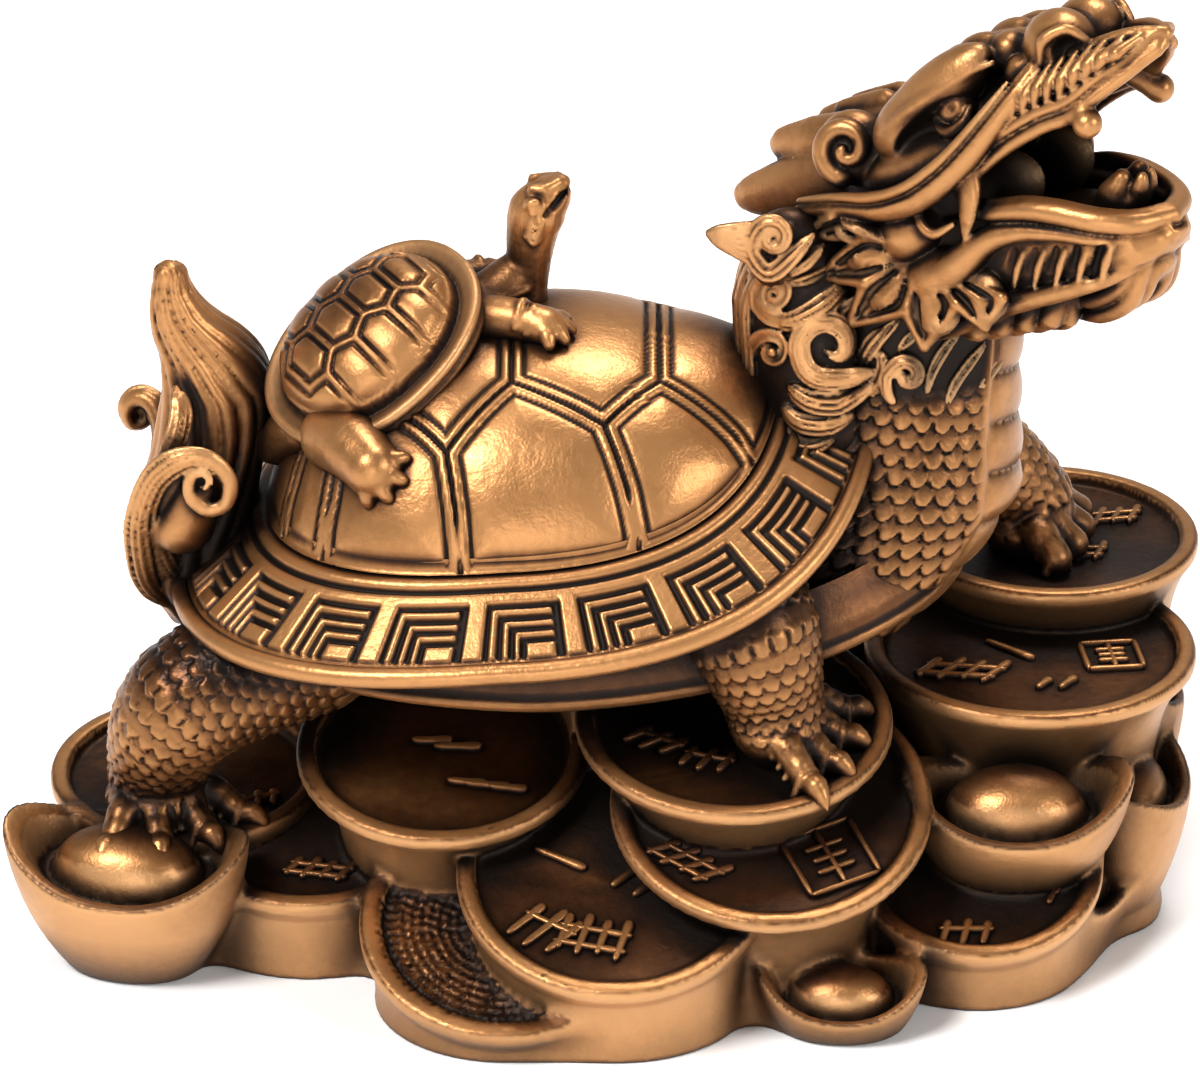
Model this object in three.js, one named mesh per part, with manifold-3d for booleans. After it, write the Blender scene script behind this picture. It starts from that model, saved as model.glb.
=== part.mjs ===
// Dragon turtle figure: one casting. A turtle with a dragon's head, a curled mane and a flame tail
// carries a young turtle on its back and stands on a bed of coins and boat-shaped ingots.
// Millimetres. X runs forward, Y to the turtle's left and Z up, from the middle of the bed's underside.
import * as THREE from "three";
import { mergeVertices } from "three/addons/utils/BufferGeometryUtils.js";
import Module from "manifold-3d";

const wasm = await Module();
wasm.setup();

// Bed of coins and ingots
const coinRimWidth = 2.2;
const coinRecess = 1.5;
const coinRimDepth = 2.4;
const coinBodyDepth = 6;
const coinTaper = 0.84;
const bedCoreLength = 96;
const bedCoreWidth = 52;
const bedCoreHeight = 24;
const sinkBelowFloor = 2;

// The surface keeps what stands out by more than this
const finestRelief = 0.25;

// Carapace and belly
const shellCentreX = -10;
const shellFrontReach = 44.8;
const shellRearReach = 43.6;
const shellHalfWidth = 38;
const shellSquareness = 2.5;
const rimHeight = 46.2;
const rimForwardRise = 2.2;
const collarRise = 20.5;
const collarSpread = 44.6;
const collarFall = 1.45;
const domeTop = 79.4;
const lipHeight = 2;
const lipShare = 0.955;
const bandTopShare = 0.745;
const domeShare = 0.71;
const domeFootRise = 0.31;
const bandCells = 20;
const bandRelief = 0.55;
const bandBarWidth = 1.5;
const firstBarX = -16;
const scuteRelief = 0.7;
const scuteGap = 1.1;
const bellyBottom = 37;
const bellyFrontRise = 9.3;
const bellyRear = -46;
const bellyFront = 44.7;
const bellyHalfWidth = 27;

// Neck, head and mane
const neckThickness = 28;
const headLength = 52;
const headYaw = -40;
const headPitch = 30;
const headAt = new THREE.Vector3(40.4, -1, 92);
const maneWidth = 29;

// Legs
const legThickness = 15;
const toeLength = 9;
const clawLength = 3.4;

// Flame tail
const tailHeight = 46;
const tailRootAt = new THREE.Vector3(-51, 1, 39);
const tailYaw = 20;

// Young turtle
const youngLength = 30;
const youngAt = new THREE.Vector3(-27.4, -4, 76.4);
const youngYaw = 28;
const youngPitch = 37;
const youngRoll = 8;

const headUnit = headLength / 52;
const tailUnit = tailHeight / 46;
const youngUnit = youngLength / 30;
const neckUnit = neckThickness / 28;
const maneUnit = maneWidth / 29;
const legUnit = legThickness / 15;

const point = (x, y, z) => new THREE.Vector3(x, y, z);
const radians = THREE.MathUtils.degToRad;

// A closed solid of any three.js geometry, facing outwards
function solid(geometry) {
  const bare = new THREE.BufferGeometry();
  bare.setAttribute("position", geometry.getAttribute("position"));
  bare.setIndex(geometry.index);
  const merged = mergeVertices(bare, 1e-4);
  const corners = merged.index.array;
  const kept = [];
  for (let i = 0; i < corners.length; i += 3) {
    const [a, b, c] = corners.slice(i, i + 3);
    if (a !== b && b !== c && c !== a) kept.push(a, b, c);
  }
  const build = (triangles) =>
    new wasm.Manifold(
      new wasm.Mesh({
        numProp: 3,
        vertProperties: new Float32Array(merged.attributes.position.array),
        triVerts: new Uint32Array(triangles),
      }),
    );
  const made = build(kept);
  if (made.volume() > 0) return made;
  for (let i = 0; i < kept.length; i += 3) [kept[i + 1], kept[i + 2]] = [kept[i + 2], kept[i + 1]];
  return build(kept);
}

function join(pieces) {
  return pieces.reduce((whole, piece) => whole.add(piece));
}

// Takes out corners that a joined surface does without. A corner moves along an edge to its neighbour where
// every plane that met at it stays within the tolerance, no face turns over and the surface stays closed
function lightened(positions, triangles, tolerance) {
  const spots = Array.from({ length: positions.length / 3 }, (_, i) => point(...positions.slice(3 * i, 3 * i + 3)));
  const faces = Array.from({ length: triangles.length / 3 }, (_, i) => [...triangles.slice(3 * i, 3 * i + 3)]);
  const around = spots.map(() => new Set());
  const planes = spots.map(() => []);
  const normalOf = (corners) => {
    const [a, b, c] = corners.map((id) => spots[id]);
    return new THREE.Vector3().subVectors(b, a).cross(new THREE.Vector3().subVectors(c, a));
  };
  faces.forEach((corners, id) => {
    const normal = normalOf(corners).normalize();
    for (const corner of corners) {
      around[corner].add(id);
      planes[corner].push([normal, normal.dot(spots[corner])]);
    }
  });
  const neighbours = (corner) => {
    const found = new Set([...around[corner]].flatMap((id) => faces[id]));
    found.delete(corner);
    return found;
  };
  const strayed = (corner, target) =>
    Math.max(...planes[corner].map(([normal, offset]) => Math.abs(normal.dot(spots[target]) - offset)));
  const turnsOver = (corner, target) =>
    [...around[corner]].some((id) => {
      if (faces[id].includes(target)) return false;
      const before = normalOf(faces[id]);
      const after = normalOf(faces[id].map((each) => (each === corner ? target : each)));
      return after.length() < 1e-3 || before.dot(after) < 0.4 * before.length() * after.length();
    });
  const merge = (corner, target) => {
    for (const id of [...around[corner]]) {
      if (faces[id].includes(target)) {
        faces[id].forEach((each) => around[each].delete(id));
        faces[id] = null;
      } else {
        faces[id] = faces[id].map((each) => (each === corner ? target : each));
        around[target].add(id);
      }
    }
    around[corner].clear();
    planes[target].push(...planes[corner]);
  };
  for (const reach of [0.05, 0.15, 0.3, 0.5, 0.75, 1, 1]) {
    spots.forEach((_, corner) => {
      if (!around[corner].size) return;
      const near = neighbours(corner);
      const options = [...near]
        .map((target) => [strayed(corner, target), target])
        .filter(([error]) => error <= reach * tolerance)
        .sort((a, b) => a[0] - b[0]);
      for (const [, target] of options) {
        const shared = [...neighbours(target)].filter((each) => near.has(each));
        if (shared.length === 2 && near.size > 3 && !turnsOver(corner, target)) {
          merge(corner, target);
          return;
        }
      }
    });
  }
  const kept = faces.filter(Boolean).flat();
  const geometry = new THREE.BufferGeometry().setFromPoints(spots).setIndex(kept);
  return solid(geometry);
}

// A closed surface through rings of equal count, each end closed by a fan to its middle
function loft(rings, matrix) {
  const count = rings[0].length;
  const middle = (ring) => ring.reduce((sum, p) => sum.add(p), point(0, 0, 0)).divideScalar(count);
  const points = [...rings.flat(), middle(rings[0]), middle(rings.at(-1))];
  const index = [];
  for (let r = 0; r + 1 < rings.length; r++) {
    for (let i = 0; i < count; i++) {
      const a = r * count + i;
      const b = r * count + ((i + 1) % count);
      index.push(a, b, b + count, a, b + count, a + count);
    }
  }
  const last = (rings.length - 1) * count;
  for (let i = 0; i < count; i++) {
    const j = (i + 1) % count;
    index.push(j, i, points.length - 2);
    index.push(last + i, last + j, points.length - 1);
  }
  const geometry = new THREE.BufferGeometry().setFromPoints(points).setIndex(index);
  if (matrix) geometry.applyMatrix4(matrix);
  return solid(geometry);
}

// A ring of an ellipse, or of a squarer oval, in a horizontal plane
function oval(x, y, z, radiusX, radiusY, sides, squareness = 2) {
  const bulge = (value) => Math.sign(value) * Math.abs(value) ** (2 / squareness);
  return Array.from({ length: sides }, (_, i) => {
    const angle = (2 * Math.PI * i) / sides;
    return point(x + radiusX * bulge(Math.cos(angle)), y + radiusY * bulge(Math.sin(angle)), z);
  });
}

// A tapered limb or lock along a smooth curve, flattened across its wide direction where flat is under 1
function limb(route, radii, { sides = 6, steps = 0, flat = 1, wide = null, matrix = null } = {}) {
  const curve = new THREE.CatmullRomCurve3(route);
  const count = steps || 2 * (route.length - 1);
  const frames = curve.computeFrenetFrames(count);
  const rings = [];
  for (let s = 0; s <= count; s++) {
    const share = (s / count) * (radii.length - 1);
    const low = Math.min(Math.floor(share), radii.length - 2);
    const radius = THREE.MathUtils.lerp(radii[low], radii[low + 1], share - low);
    const centre = curve.getPoint(s / count);
    const along = curve.getTangent(s / count);
    let across = frames.normals[s].clone();
    if (wide) across = wide.clone().addScaledVector(along, -wide.dot(along)).normalize();
    const thin = new THREE.Vector3().crossVectors(along, across);
    rings.push(
      Array.from({ length: sides }, (_, i) => {
        const angle = (2 * Math.PI * i) / sides;
        return centre
          .clone()
          .addScaledVector(across, radius * Math.cos(angle))
          .addScaledVector(thin, radius * flat * Math.sin(angle));
      }),
    );
  }
  return loft(rings, matrix);
}

function ball(x, y, z, radiusX, radiusY, radiusZ, matrix, sides = 10, bands = 6) {
  const geometry = new THREE.SphereGeometry(1, sides, bands);
  geometry.scale(radiusX, radiusY, radiusZ).translate(x, y, z);
  if (matrix) geometry.applyMatrix4(matrix);
  return solid(geometry);
}

// A frame at a place, turned by yaw, pitched up, and rolled so that its left side rises
function turned(place, yaw, pitch, roll, unit) {
  const turn = new THREE.Matrix4().makeRotationZ(radians(yaw));
  turn.multiply(new THREE.Matrix4().makeRotationY(radians(-pitch)));
  turn.multiply(new THREE.Matrix4().makeRotationX(radians(roll)));
  const frame = new THREE.Matrix4().makeTranslation(place.x, place.y, place.z);
  return frame.multiply(turn).scale(point(unit, unit, unit));
}

// Coins: the middle of the rim's top, the radius, and the tilt towards the right-hand side and the front
const coins = {
  underFrontFoot: { x: 16.5, y: -19, top: 33.7, radius: 19.6, nod: 11, sides: 16, foot: 0.66 },
  frontMiddle: { x: 21, y: -26, top: 25.6, radius: 19.8, nod: 22, sides: 18, foot: 0.64 },
  frontLow: { x: 1.8, y: -32, top: 19.3, radius: 19.4, nod: 23, sides: 18, foot: 0.86 },
  frontLowest: { x: -11.4, y: -32, top: 12.3, radius: 18.2, nod: 23, sides: 16, foot: 0.86 },
  rearMiddle: { x: -19.5, y: -16, top: 27.9, radius: 18.2, nod: 12.4, sides: 16, foot: 0.66 },
  rearLow: { x: -36.4, y: -12, top: 18.1, radius: 18.4, nod: 18.6, sides: 16, foot: 0.86 },
  underHindFoot: { x: -52, y: -5, top: 19, radius: 17.5, nod: 4, sides: 12, foot: 0.86 },
  rightLow: { x: 46.7, y: -22, top: 15, radius: 15.8, nod: 21, sides: 14, foot: 0.86 },
  chest: { x: 54.4, y: 2, top: 33.1, radius: 21, nod: 0, sides: 20, foot: 0.76 },
  underFarFoot: { x: 58.1, y: 23.5, top: 38.5, radius: 19.4, nod: 0, sides: 16, foot: 0.8 },
  farFront: { x: 25, y: 23, top: 28, radius: 19, nod: -13, sides: 10, foot: 0.66 },
  farMiddle: { x: -14, y: 19, top: 28, radius: 18.5, nod: -12, sides: 10, foot: 0.66 },
  farLow: { x: 6, y: 31, top: 18.5, radius: 18.5, nod: -22, sides: 10, foot: 0.86 },
  farLowest: { x: -24, y: 30, top: 14, radius: 17.5, nod: -20, sides: 10, foot: 0.86 },
  farRear: { x: -39, y: 17, top: 17, radius: 18, nod: -12, sides: 10, foot: 0.86 },
  farRight: { x: 40, y: 29, top: 16, radius: 17.5, nod: -20, sides: 10, foot: 0.86 },
};

function coinFrame(coin) {
  const frame = new THREE.Matrix4().makeTranslation(coin.x, coin.y, coin.top);
  return frame.multiply(new THREE.Matrix4().makeRotationX(radians(coin.nod)));
}

// Height of a coin's recessed face above a point of the plan
function faceHeight(coin, y) {
  const nod = radians(coin.nod);
  return coin.top + (y - coin.y) * Math.tan(nod) - coinRecess / Math.cos(nod);
}

function coinSolid(coin) {
  const { radius, sides } = coin;
  const ring = (share, depth) => oval(0, 0, -depth, share * radius, share * radius, sides);
  const frame = coinFrame(coin);
  const tilted = [
    ring(1, coinRimDepth),
    ring(1, 0),
    ring(1 - coinRimWidth / radius, 0),
    ring(1 - (coinRimWidth + 0.5) / radius, coinRecess),
  ];
  if (coin.foot < coinTaper) tilted.unshift(ring(coinTaper, coinBodyDepth));
  tilted.forEach((each) => each.forEach((p) => p.applyMatrix4(frame)));
  const footY = coin.y + 1.4 * Math.sign(coin.nod);
  const base = coin.foot * radius;
  return loft([oval(coin.x, footY, -sinkBelowFloor, base, base, sides), ...tilted]);
}

// Ingots: boats with raised ends, a lip and a dome in the middle
const ingots = [
  { x: -58.5, y: -24, z: 15.5, length: 31, width: 20, heading: -12, nod: 8, depth: 12, sides: 14 },
  { x: 51.5, y: -20.5, z: 22, length: 29, width: 20, heading: 0, nod: 6, depth: 11, sides: 14 },
  { x: 29.5, y: -37.5, z: 5.5, length: 21, width: 14, heading: -3, nod: 12, depth: 8, sides: 12 },
  { x: 67, y: -8, z: 18, length: 24, width: 15, heading: 80, nod: 0, depth: 15, sides: 12 },
  { x: 68, y: 12, z: 22, length: 26, width: 14, heading: 96, nod: 0, depth: 18, sides: 10 },
  { x: 59, y: -15, z: 8, length: 22, width: 15, heading: 60, nod: 10, depth: 9, sides: 10 },
  { x: -9, y: 40, z: 7, length: 22, width: 15, heading: 4, nod: -12, depth: 9, sides: 10 },
];

function ingotSolid({ x, y, z, length, width, heading, nod, depth, sides }) {
  const ring = (share, height, lift) =>
    oval(0, 0, height, (share * length) / 2, (share * width) / 2, sides, 2.1).map((p) => {
      const end = Math.abs(p.x) / (length / 2);
      return point(p.x, p.y, p.z + lift * 0.27 * width * end ** 2.4);
    });
  const frame = new THREE.Matrix4().makeTranslation(x, y, z);
  frame.multiply(new THREE.Matrix4().makeRotationX(radians(nod)));
  frame.multiply(new THREE.Matrix4().makeRotationZ(radians(heading)));
  const crown = 0.26 * width;
  const rings = [
    ring(0.55, -depth, 0),
    ring(0.93, -2.6, 0.8),
    ring(1, 0, 1),
    ring(0.86, 0.1, 1),
    ring(0.62, -1.6, 0.2),
    ring(0.5, 0.5 * crown, 0),
    ring(0.28, 0.95 * crown, 0),
  ];
  return loft(rings, frame);
}

function bed() {
  const half = bedCoreLength / 2;
  const core = loft([
    oval(-1, 1, -sinkBelowFloor, half, bedCoreWidth / 2, 10, 2.6),
    oval(-1, 1, bedCoreHeight / 3, half, bedCoreWidth / 2, 10, 2.6),
    oval(2, 1, bedCoreHeight, 0.74 * half, 0.4 * bedCoreWidth, 10, 2.6),
    oval(-4, 0, bellyBottom + 2, 0.58 * half, 0.54 * bellyHalfWidth, 10, 2.6),
  ]);
  return [core, ...Object.values(coins).map(coinSolid), ...ingots.map(ingotSolid)];
}

// The rim's plan point and height at an angle from the front, 0 to 2 pi
function rimPoint(angle, share = 1) {
  const bulge = (value) => Math.sign(value) * Math.abs(value) ** (2 / shellSquareness);
  const across = bulge(Math.cos(angle));
  const reach = across > 0 ? shellFrontReach : shellRearReach;
  return [shellCentreX + share * reach * across, share * shellHalfWidth * bulge(Math.sin(angle))];
}

function rimLevel(angle) {
  const fromFront = Math.abs(THREE.MathUtils.radToDeg(Math.atan2(Math.sin(angle), Math.cos(angle))));
  const collar = collarRise * Math.exp(-((fromFront / collarSpread) ** collarFall));
  return rimHeight + rimForwardRise * Math.cos(angle) + collar;
}

// Rise of the shell from rim to crown, as a share, at a share of the way out from the middle
function shellRise(share) {
  if (share < domeShare) {
    return domeFootRise + (1 - domeFootRise) * (1 - (share / domeShare) ** 2.2) ** 0.68;
  }
  const down = (share - domeShare) / (lipShare - domeShare);
  return THREE.MathUtils.lerp(domeFootRise, 0.05, down);
}

function shellPoint(angle, share, lift = 0) {
  const [x, y] = rimPoint(angle, share);
  const level = rimLevel(angle);
  return point(x, y, level + (domeTop - level) * shellRise(share) + lift);
}

// Share and angle of a point of the plan, and the shell's height over it
function shellHeight(x, y) {
  const reach = x > shellCentreX ? shellFrontReach : shellRearReach;
  const across = Math.abs(x - shellCentreX) / reach;
  const beside = Math.abs(y) / shellHalfWidth;
  const share = (across ** shellSquareness + beside ** shellSquareness) ** (1 / shellSquareness);
  if (share < 1e-6) return domeTop;
  const power = shellSquareness / 2;
  const angle = Math.atan2(
    Math.sign(y) * (beside / share) ** power,
    Math.sign(x - shellCentreX) * (across / share) ** power,
  );
  const level = rimLevel(angle);
  return level + (domeTop - level) * shellRise(share);
}

function carapace() {
  const sides = 36;
  const angles = Array.from({ length: sides }, (_, i) => (2 * Math.PI * i) / sides);
  const edge = (share, lift) =>
    angles.map((angle) => {
      const [x, y] = rimPoint(angle, share);
      return point(x, y, rimLevel(angle) + lift);
    });
  const risen = (share, lift) => angles.map((angle) => shellPoint(angle, share, lift));
  return loft([
    edge(0.6, -1.5),
    edge(0.965, 0),
    edge(1, 0.7),
    edge(0.985, lipHeight),
    edge(lipShare, lipHeight - 0.4),
    risen(bandTopShare, 0),
    risen(bandTopShare - 0.012, 0.7),
    risen(domeShare, 0.4),
  ]);
}

// Angles of the bars, evenly spaced along the band, with one at firstBarX on the right-hand side
function bandAngles() {
  const steps = 720;
  const middleShare = (bandTopShare + lipShare) / 2;
  const start = 1.5 * Math.PI;
  const spots = Array.from({ length: steps + 1 }, (_, i) => {
    const [x, y] = rimPoint(start + (2 * Math.PI * i) / steps, middleShare);
    return new THREE.Vector2(x, y);
  });
  const reached = [0];
  for (let i = 1; i <= steps; i++) reached.push(reached[i - 1] + spots[i].distanceTo(spots[i - 1]));
  const offset = firstBarX - shellCentreX;
  return Array.from({ length: bandCells }, (_, cell) => {
    const along = (offset + reached[steps] * (1 + cell / bandCells)) % reached[steps];
    const at = reached.findIndex((length) => length > along);
    return start + (2 * Math.PI * at) / steps;
  });
}

// The bars between the cells of the band round the shell
function bandBars() {
  const width = bandBarWidth / shellHalfWidth;
  const section = (angle, share) => [
    shellPoint(angle, share, bandRelief),
    shellPoint(angle + width, share, bandRelief),
    shellPoint(angle + width, share, -1),
    shellPoint(angle, share, -1),
  ];
  return bandAngles().map((angle) => loft([section(angle, bandTopShare), section(angle, 0.95)]));
}

// Corners of the horny plates on the right-hand side of the back, in plan
const corner = {
  crownFront: [7.2, 11.5],
  crownWide: [0.5, 18],
  crownRear: [-10.7, 13.5],
  saddleWide: [-18.5, 20],
  saddleRear: [-27, 12],
  rumpWide: [-31, 13],
  rumpRear: [-35, 6.5],
};
const rimCorner = { front: 18.4, shoulder: 4.7, flank: -16.7, hip: -33.5, rump: -38.6 };

// The plates meet the ring round the dome just inside its foot
const plateEdgeShare = domeShare - 0.002;

function planShare([x, y]) {
  const reach = x > shellCentreX ? shellFrontReach : shellRearReach;
  const across = Math.abs(x - shellCentreX) / reach;
  const beside = Math.abs(y) / shellHalfWidth;
  return (across ** shellSquareness + beside ** shellSquareness) ** (1 / shellSquareness);
}

function ringCorner(x) {
  const reach = x > shellCentreX ? shellFrontReach : shellRearReach;
  const across = Math.abs(x - shellCentreX) / (reach * plateEdgeShare);
  const beside = Math.max(0, 1 - across ** shellSquareness) ** (1 / shellSquareness);
  return [x, plateEdgeShare * shellHalfWidth * beside];
}

// Halfway between two corners, and on the ring where both are on it
function between(from, to) {
  const [x, y] = [(from[0] + to[0]) / 2, (from[1] + to[1]) / 2];
  if (Math.min(planShare(from), planShare(to)) < plateEdgeShare - 1e-3) return [x, y];
  const stretch = plateEdgeShare / planShare([x, y]);
  return [shellCentreX + stretch * (x - shellCentreX), stretch * y];
}

// Rings of points over one plate: the groove round it, its edge, and its crown
function plateRings(corners) {
  const sum = corners.reduce((total, c) => [total[0] + c[0], total[1] + c[1]], [0, 0]);
  const centre = sum.map((value) => value / corners.length);
  const outline = corners.flatMap((from, i) => [from, between(from, corners[(i + 1) % corners.length])]);
  const away = ([x, y]) => Math.hypot(x - centre[0], y - centre[1]);
  const ring = (shareOf, lift) =>
    outline.map((spot) => {
      const share = shareOf(spot);
      const x = centre[0] + share * (spot[0] - centre[0]);
      const y = centre[1] + share * (spot[1] - centre[1]);
      return point(x, y, shellHeight(x, y) + lift);
    });
  const drawnIn = (spot) => 1 - scuteGap / away(spot);
  return [ring(() => 1, -0.2), ring(drawnIn, scuteRelief), ring(() => 0.5, 1.4 * scuteRelief)];
}

function plates() {
  const c = corner;
  const r = Object.fromEntries(Object.entries(rimCorner).map(([name, x]) => [name, ringCorner(x)]));
  const mirrored = ([x, y]) => [x, -y];
  const across = (half, ...ends) => [...half, ...ends, ...half.map(mirrored).reverse()];
  const brow = [shellCentreX + plateEdgeShare * shellFrontReach, 0];
  const rump = [shellCentreX - plateEdgeShare * shellRearReach, 0];
  const middle = [
    [...across([r.front, c.crownFront]), brow],
    across([c.crownFront, c.crownWide, c.crownRear]),
    across([c.crownRear, c.saddleWide, c.saddleRear]),
    across([c.saddleRear, c.rumpWide, c.rumpRear]),
    across([c.rumpRear, r.rump], rump),
  ];
  const side = [
    [r.front, c.crownFront, c.crownWide, r.shoulder, between(r.front, r.shoulder)].reverse(),
    [c.crownWide, c.crownRear, c.saddleWide, r.flank, between(r.shoulder, r.flank), r.shoulder].reverse(),
    [c.saddleWide, c.saddleRear, c.rumpWide, r.hip, r.flank].reverse(),
    [c.rumpWide, c.rumpRear, r.rump, r.hip].reverse(),
  ];
  return [...middle, ...side, ...side.map((plate) => plate.map(mirrored).reverse())];
}

// The dome as one skin of raised plates with grooves between them, closed below inside the shell
function dome() {
  const points = [];
  const index = [];
  for (const corners of plates()) {
    const rings = plateRings(corners);
    const count = rings[0].length;
    const first = points.length;
    const crown = rings[2].reduce((sum, p) => sum.add(p), point(0, 0, 0)).divideScalar(count);
    points.push(...rings.flat(), crown.setZ(crown.z + 0.3));
    for (let i = 0; i < count; i++) {
      const j = (i + 1) % count;
      for (const row of [first, first + count]) {
        index.push(row + i, row + j, row + j + count, row + i, row + j + count, row + i + count);
      }
      index.push(first + 2 * count + i, first + 2 * count + j, points.length - 1);
    }
  }
  const skin = mergeVertices(new THREE.BufferGeometry().setFromPoints(points).setIndex(index), 1e-3);
  const corners = [...skin.index.array];
  const sides = [];
  for (let i = 0; i < corners.length; i += 3) {
    sides.push([corners[i], corners[i + 1]], [corners[i + 1], corners[i + 2]], [corners[i + 2], corners[i]]);
  }
  const known = new Set(sides.map(String));
  const bottom = skin.attributes.position.count;
  for (const [a, b] of sides) {
    if (!known.has(String([b, a]))) corners.push(b, a, bottom);
  }
  const shape = [...skin.attributes.position.array, shellCentreX, 0, rimHeight];
  const closed = new THREE.BufferGeometry();
  closed.setAttribute("position", new THREE.Float32BufferAttribute(shape, 3));
  return solid(closed.setIndex(corners));
}

function belly() {
  const sides = 18;
  const long = (bellyFront - bellyRear) / 2;
  const centreX = (bellyFront + bellyRear) / 2;
  const ring = (share, lift) =>
    oval(centreX, 0, 0, share * long, share * bellyHalfWidth, sides, 2.3).map((p) => {
      const forward = Math.max(0, (p.x + 10) / (bellyFront + 10));
      return point(p.x, p.y, bellyBottom + lift + bellyFrontRise * forward ** 1.6);
    });
  return loft([ring(0.75, 0), ring(0.97, 0.9), ring(1, 3), ring(0.9, 9)]);
}

function neck() {
  const stations = [
    [43, 27, 15, 14.5],
    [49, 32.5, 15, 15.5],
    [57, 36.4, 15.8, 15],
    [69, 38.2, 13.4, 13],
    [89, 39.5, 12, 12],
  ];
  return loft(stations.map(([z, x, rx, ry]) => oval(x, 0, z, rx * neckUnit, ry * neckUnit, 12)));
}

// A leg from inside the body to the foot on its coin, with toes spread round a heading
function leg({ hip, knee, ankle, coin, heading, spread, toes }) {
  const sole = faceHeight(coin, ankle[1]);
  const foot = point(ankle[0], ankle[1], sole + 3 * legUnit);
  const shin = point(ankle[0], ankle[1], sole + 7.5 * legUnit);
  const route = [point(...hip), point(...knee), shin, foot];
  const radii = [8.6, 7.6, 5.4, 5.2].map((radius) => radius * legUnit);
  const pieces = [limb(route, radii, { sides: 7, steps: 4 })];
  for (let toe = 0; toe < toes; toe++) {
    const turn = radians(heading + spread * (toe / (toes - 1) - 0.5));
    const way = point(Math.cos(turn), Math.sin(turn), 0);
    const at = (out) => {
      const spot = foot.clone().addScaledVector(way, out);
      return spot.setZ(faceHeight(coin, spot.y));
    };
    const knuckle = at(0.75 * toeLength).add(point(0, 0, 2.3 * legUnit));
    const claw = at(toeLength + clawLength).add(point(0, 0, 0.4));
    const thick = [2.6, 2.5, 2.1, 0.3].map((radius) => radius * legUnit);
    pieces.push(limb([foot, knuckle, claw], thick, { sides: 5, steps: 3 }));
  }
  return pieces;
}

function legs() {
  const right = { hip: [16, -17, 50], knee: [18.5, -23, 47], ankle: [21, -25.5], heading: -42 };
  const left = { hip: [26, 15, 50], knee: [43, 20, 52], ankle: [54, 22], heading: -15 };
  const rightHind = { hip: [-36, -14, 41], knee: [-50.5, -18, 35], ankle: [-55, -15], heading: -72 };
  const leftHind = { hip: [-32, 14, 41], knee: [-43, 19, 34], ankle: [-45, 18], heading: 130 };
  return [
    ...leg({ ...right, coin: coins.underFrontFoot, spread: 110, toes: 4 }),
    ...leg({ ...left, coin: coins.underFarFoot, spread: 100, toes: 4 }),
    ...leg({ ...rightHind, coin: coins.underHindFoot, spread: 120, toes: 4 }),
    ...leg({ ...leftHind, coin: coins.farRear, spread: 110, toes: 3 }),
  ];
}

// A flat curl: a coiled ridge round a raised eye, facing along its axis
function curl(place, axis, radius, thickness, sides = 8) {
  const profile = [
    [0, -2.8 * thickness],
    [1, -thickness],
    [0.84, 0.9 * thickness],
    [0.5, 0.25 * thickness],
    [0, 1.5 * thickness],
  ];
  const outline = profile.map(([share, up]) => new THREE.Vector2(share * radius, up));
  const geometry = new THREE.LatheGeometry(outline, sides);
  const turn = new THREE.Quaternion().setFromUnitVectors(point(0, 1, 0), axis.clone().normalize());
  geometry.applyQuaternion(turn).translate(place.x, place.y, place.z);
  return geometry;
}

const bothSides = (make) => [make(-1), make(1)].flat();

function jawRings(stations, section) {
  return stations.map(([along, halfWidth, low, high]) =>
    section.map(([side, up]) => point(along, side * halfWidth, THREE.MathUtils.lerp(low, high, up))),
  );
}

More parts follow.
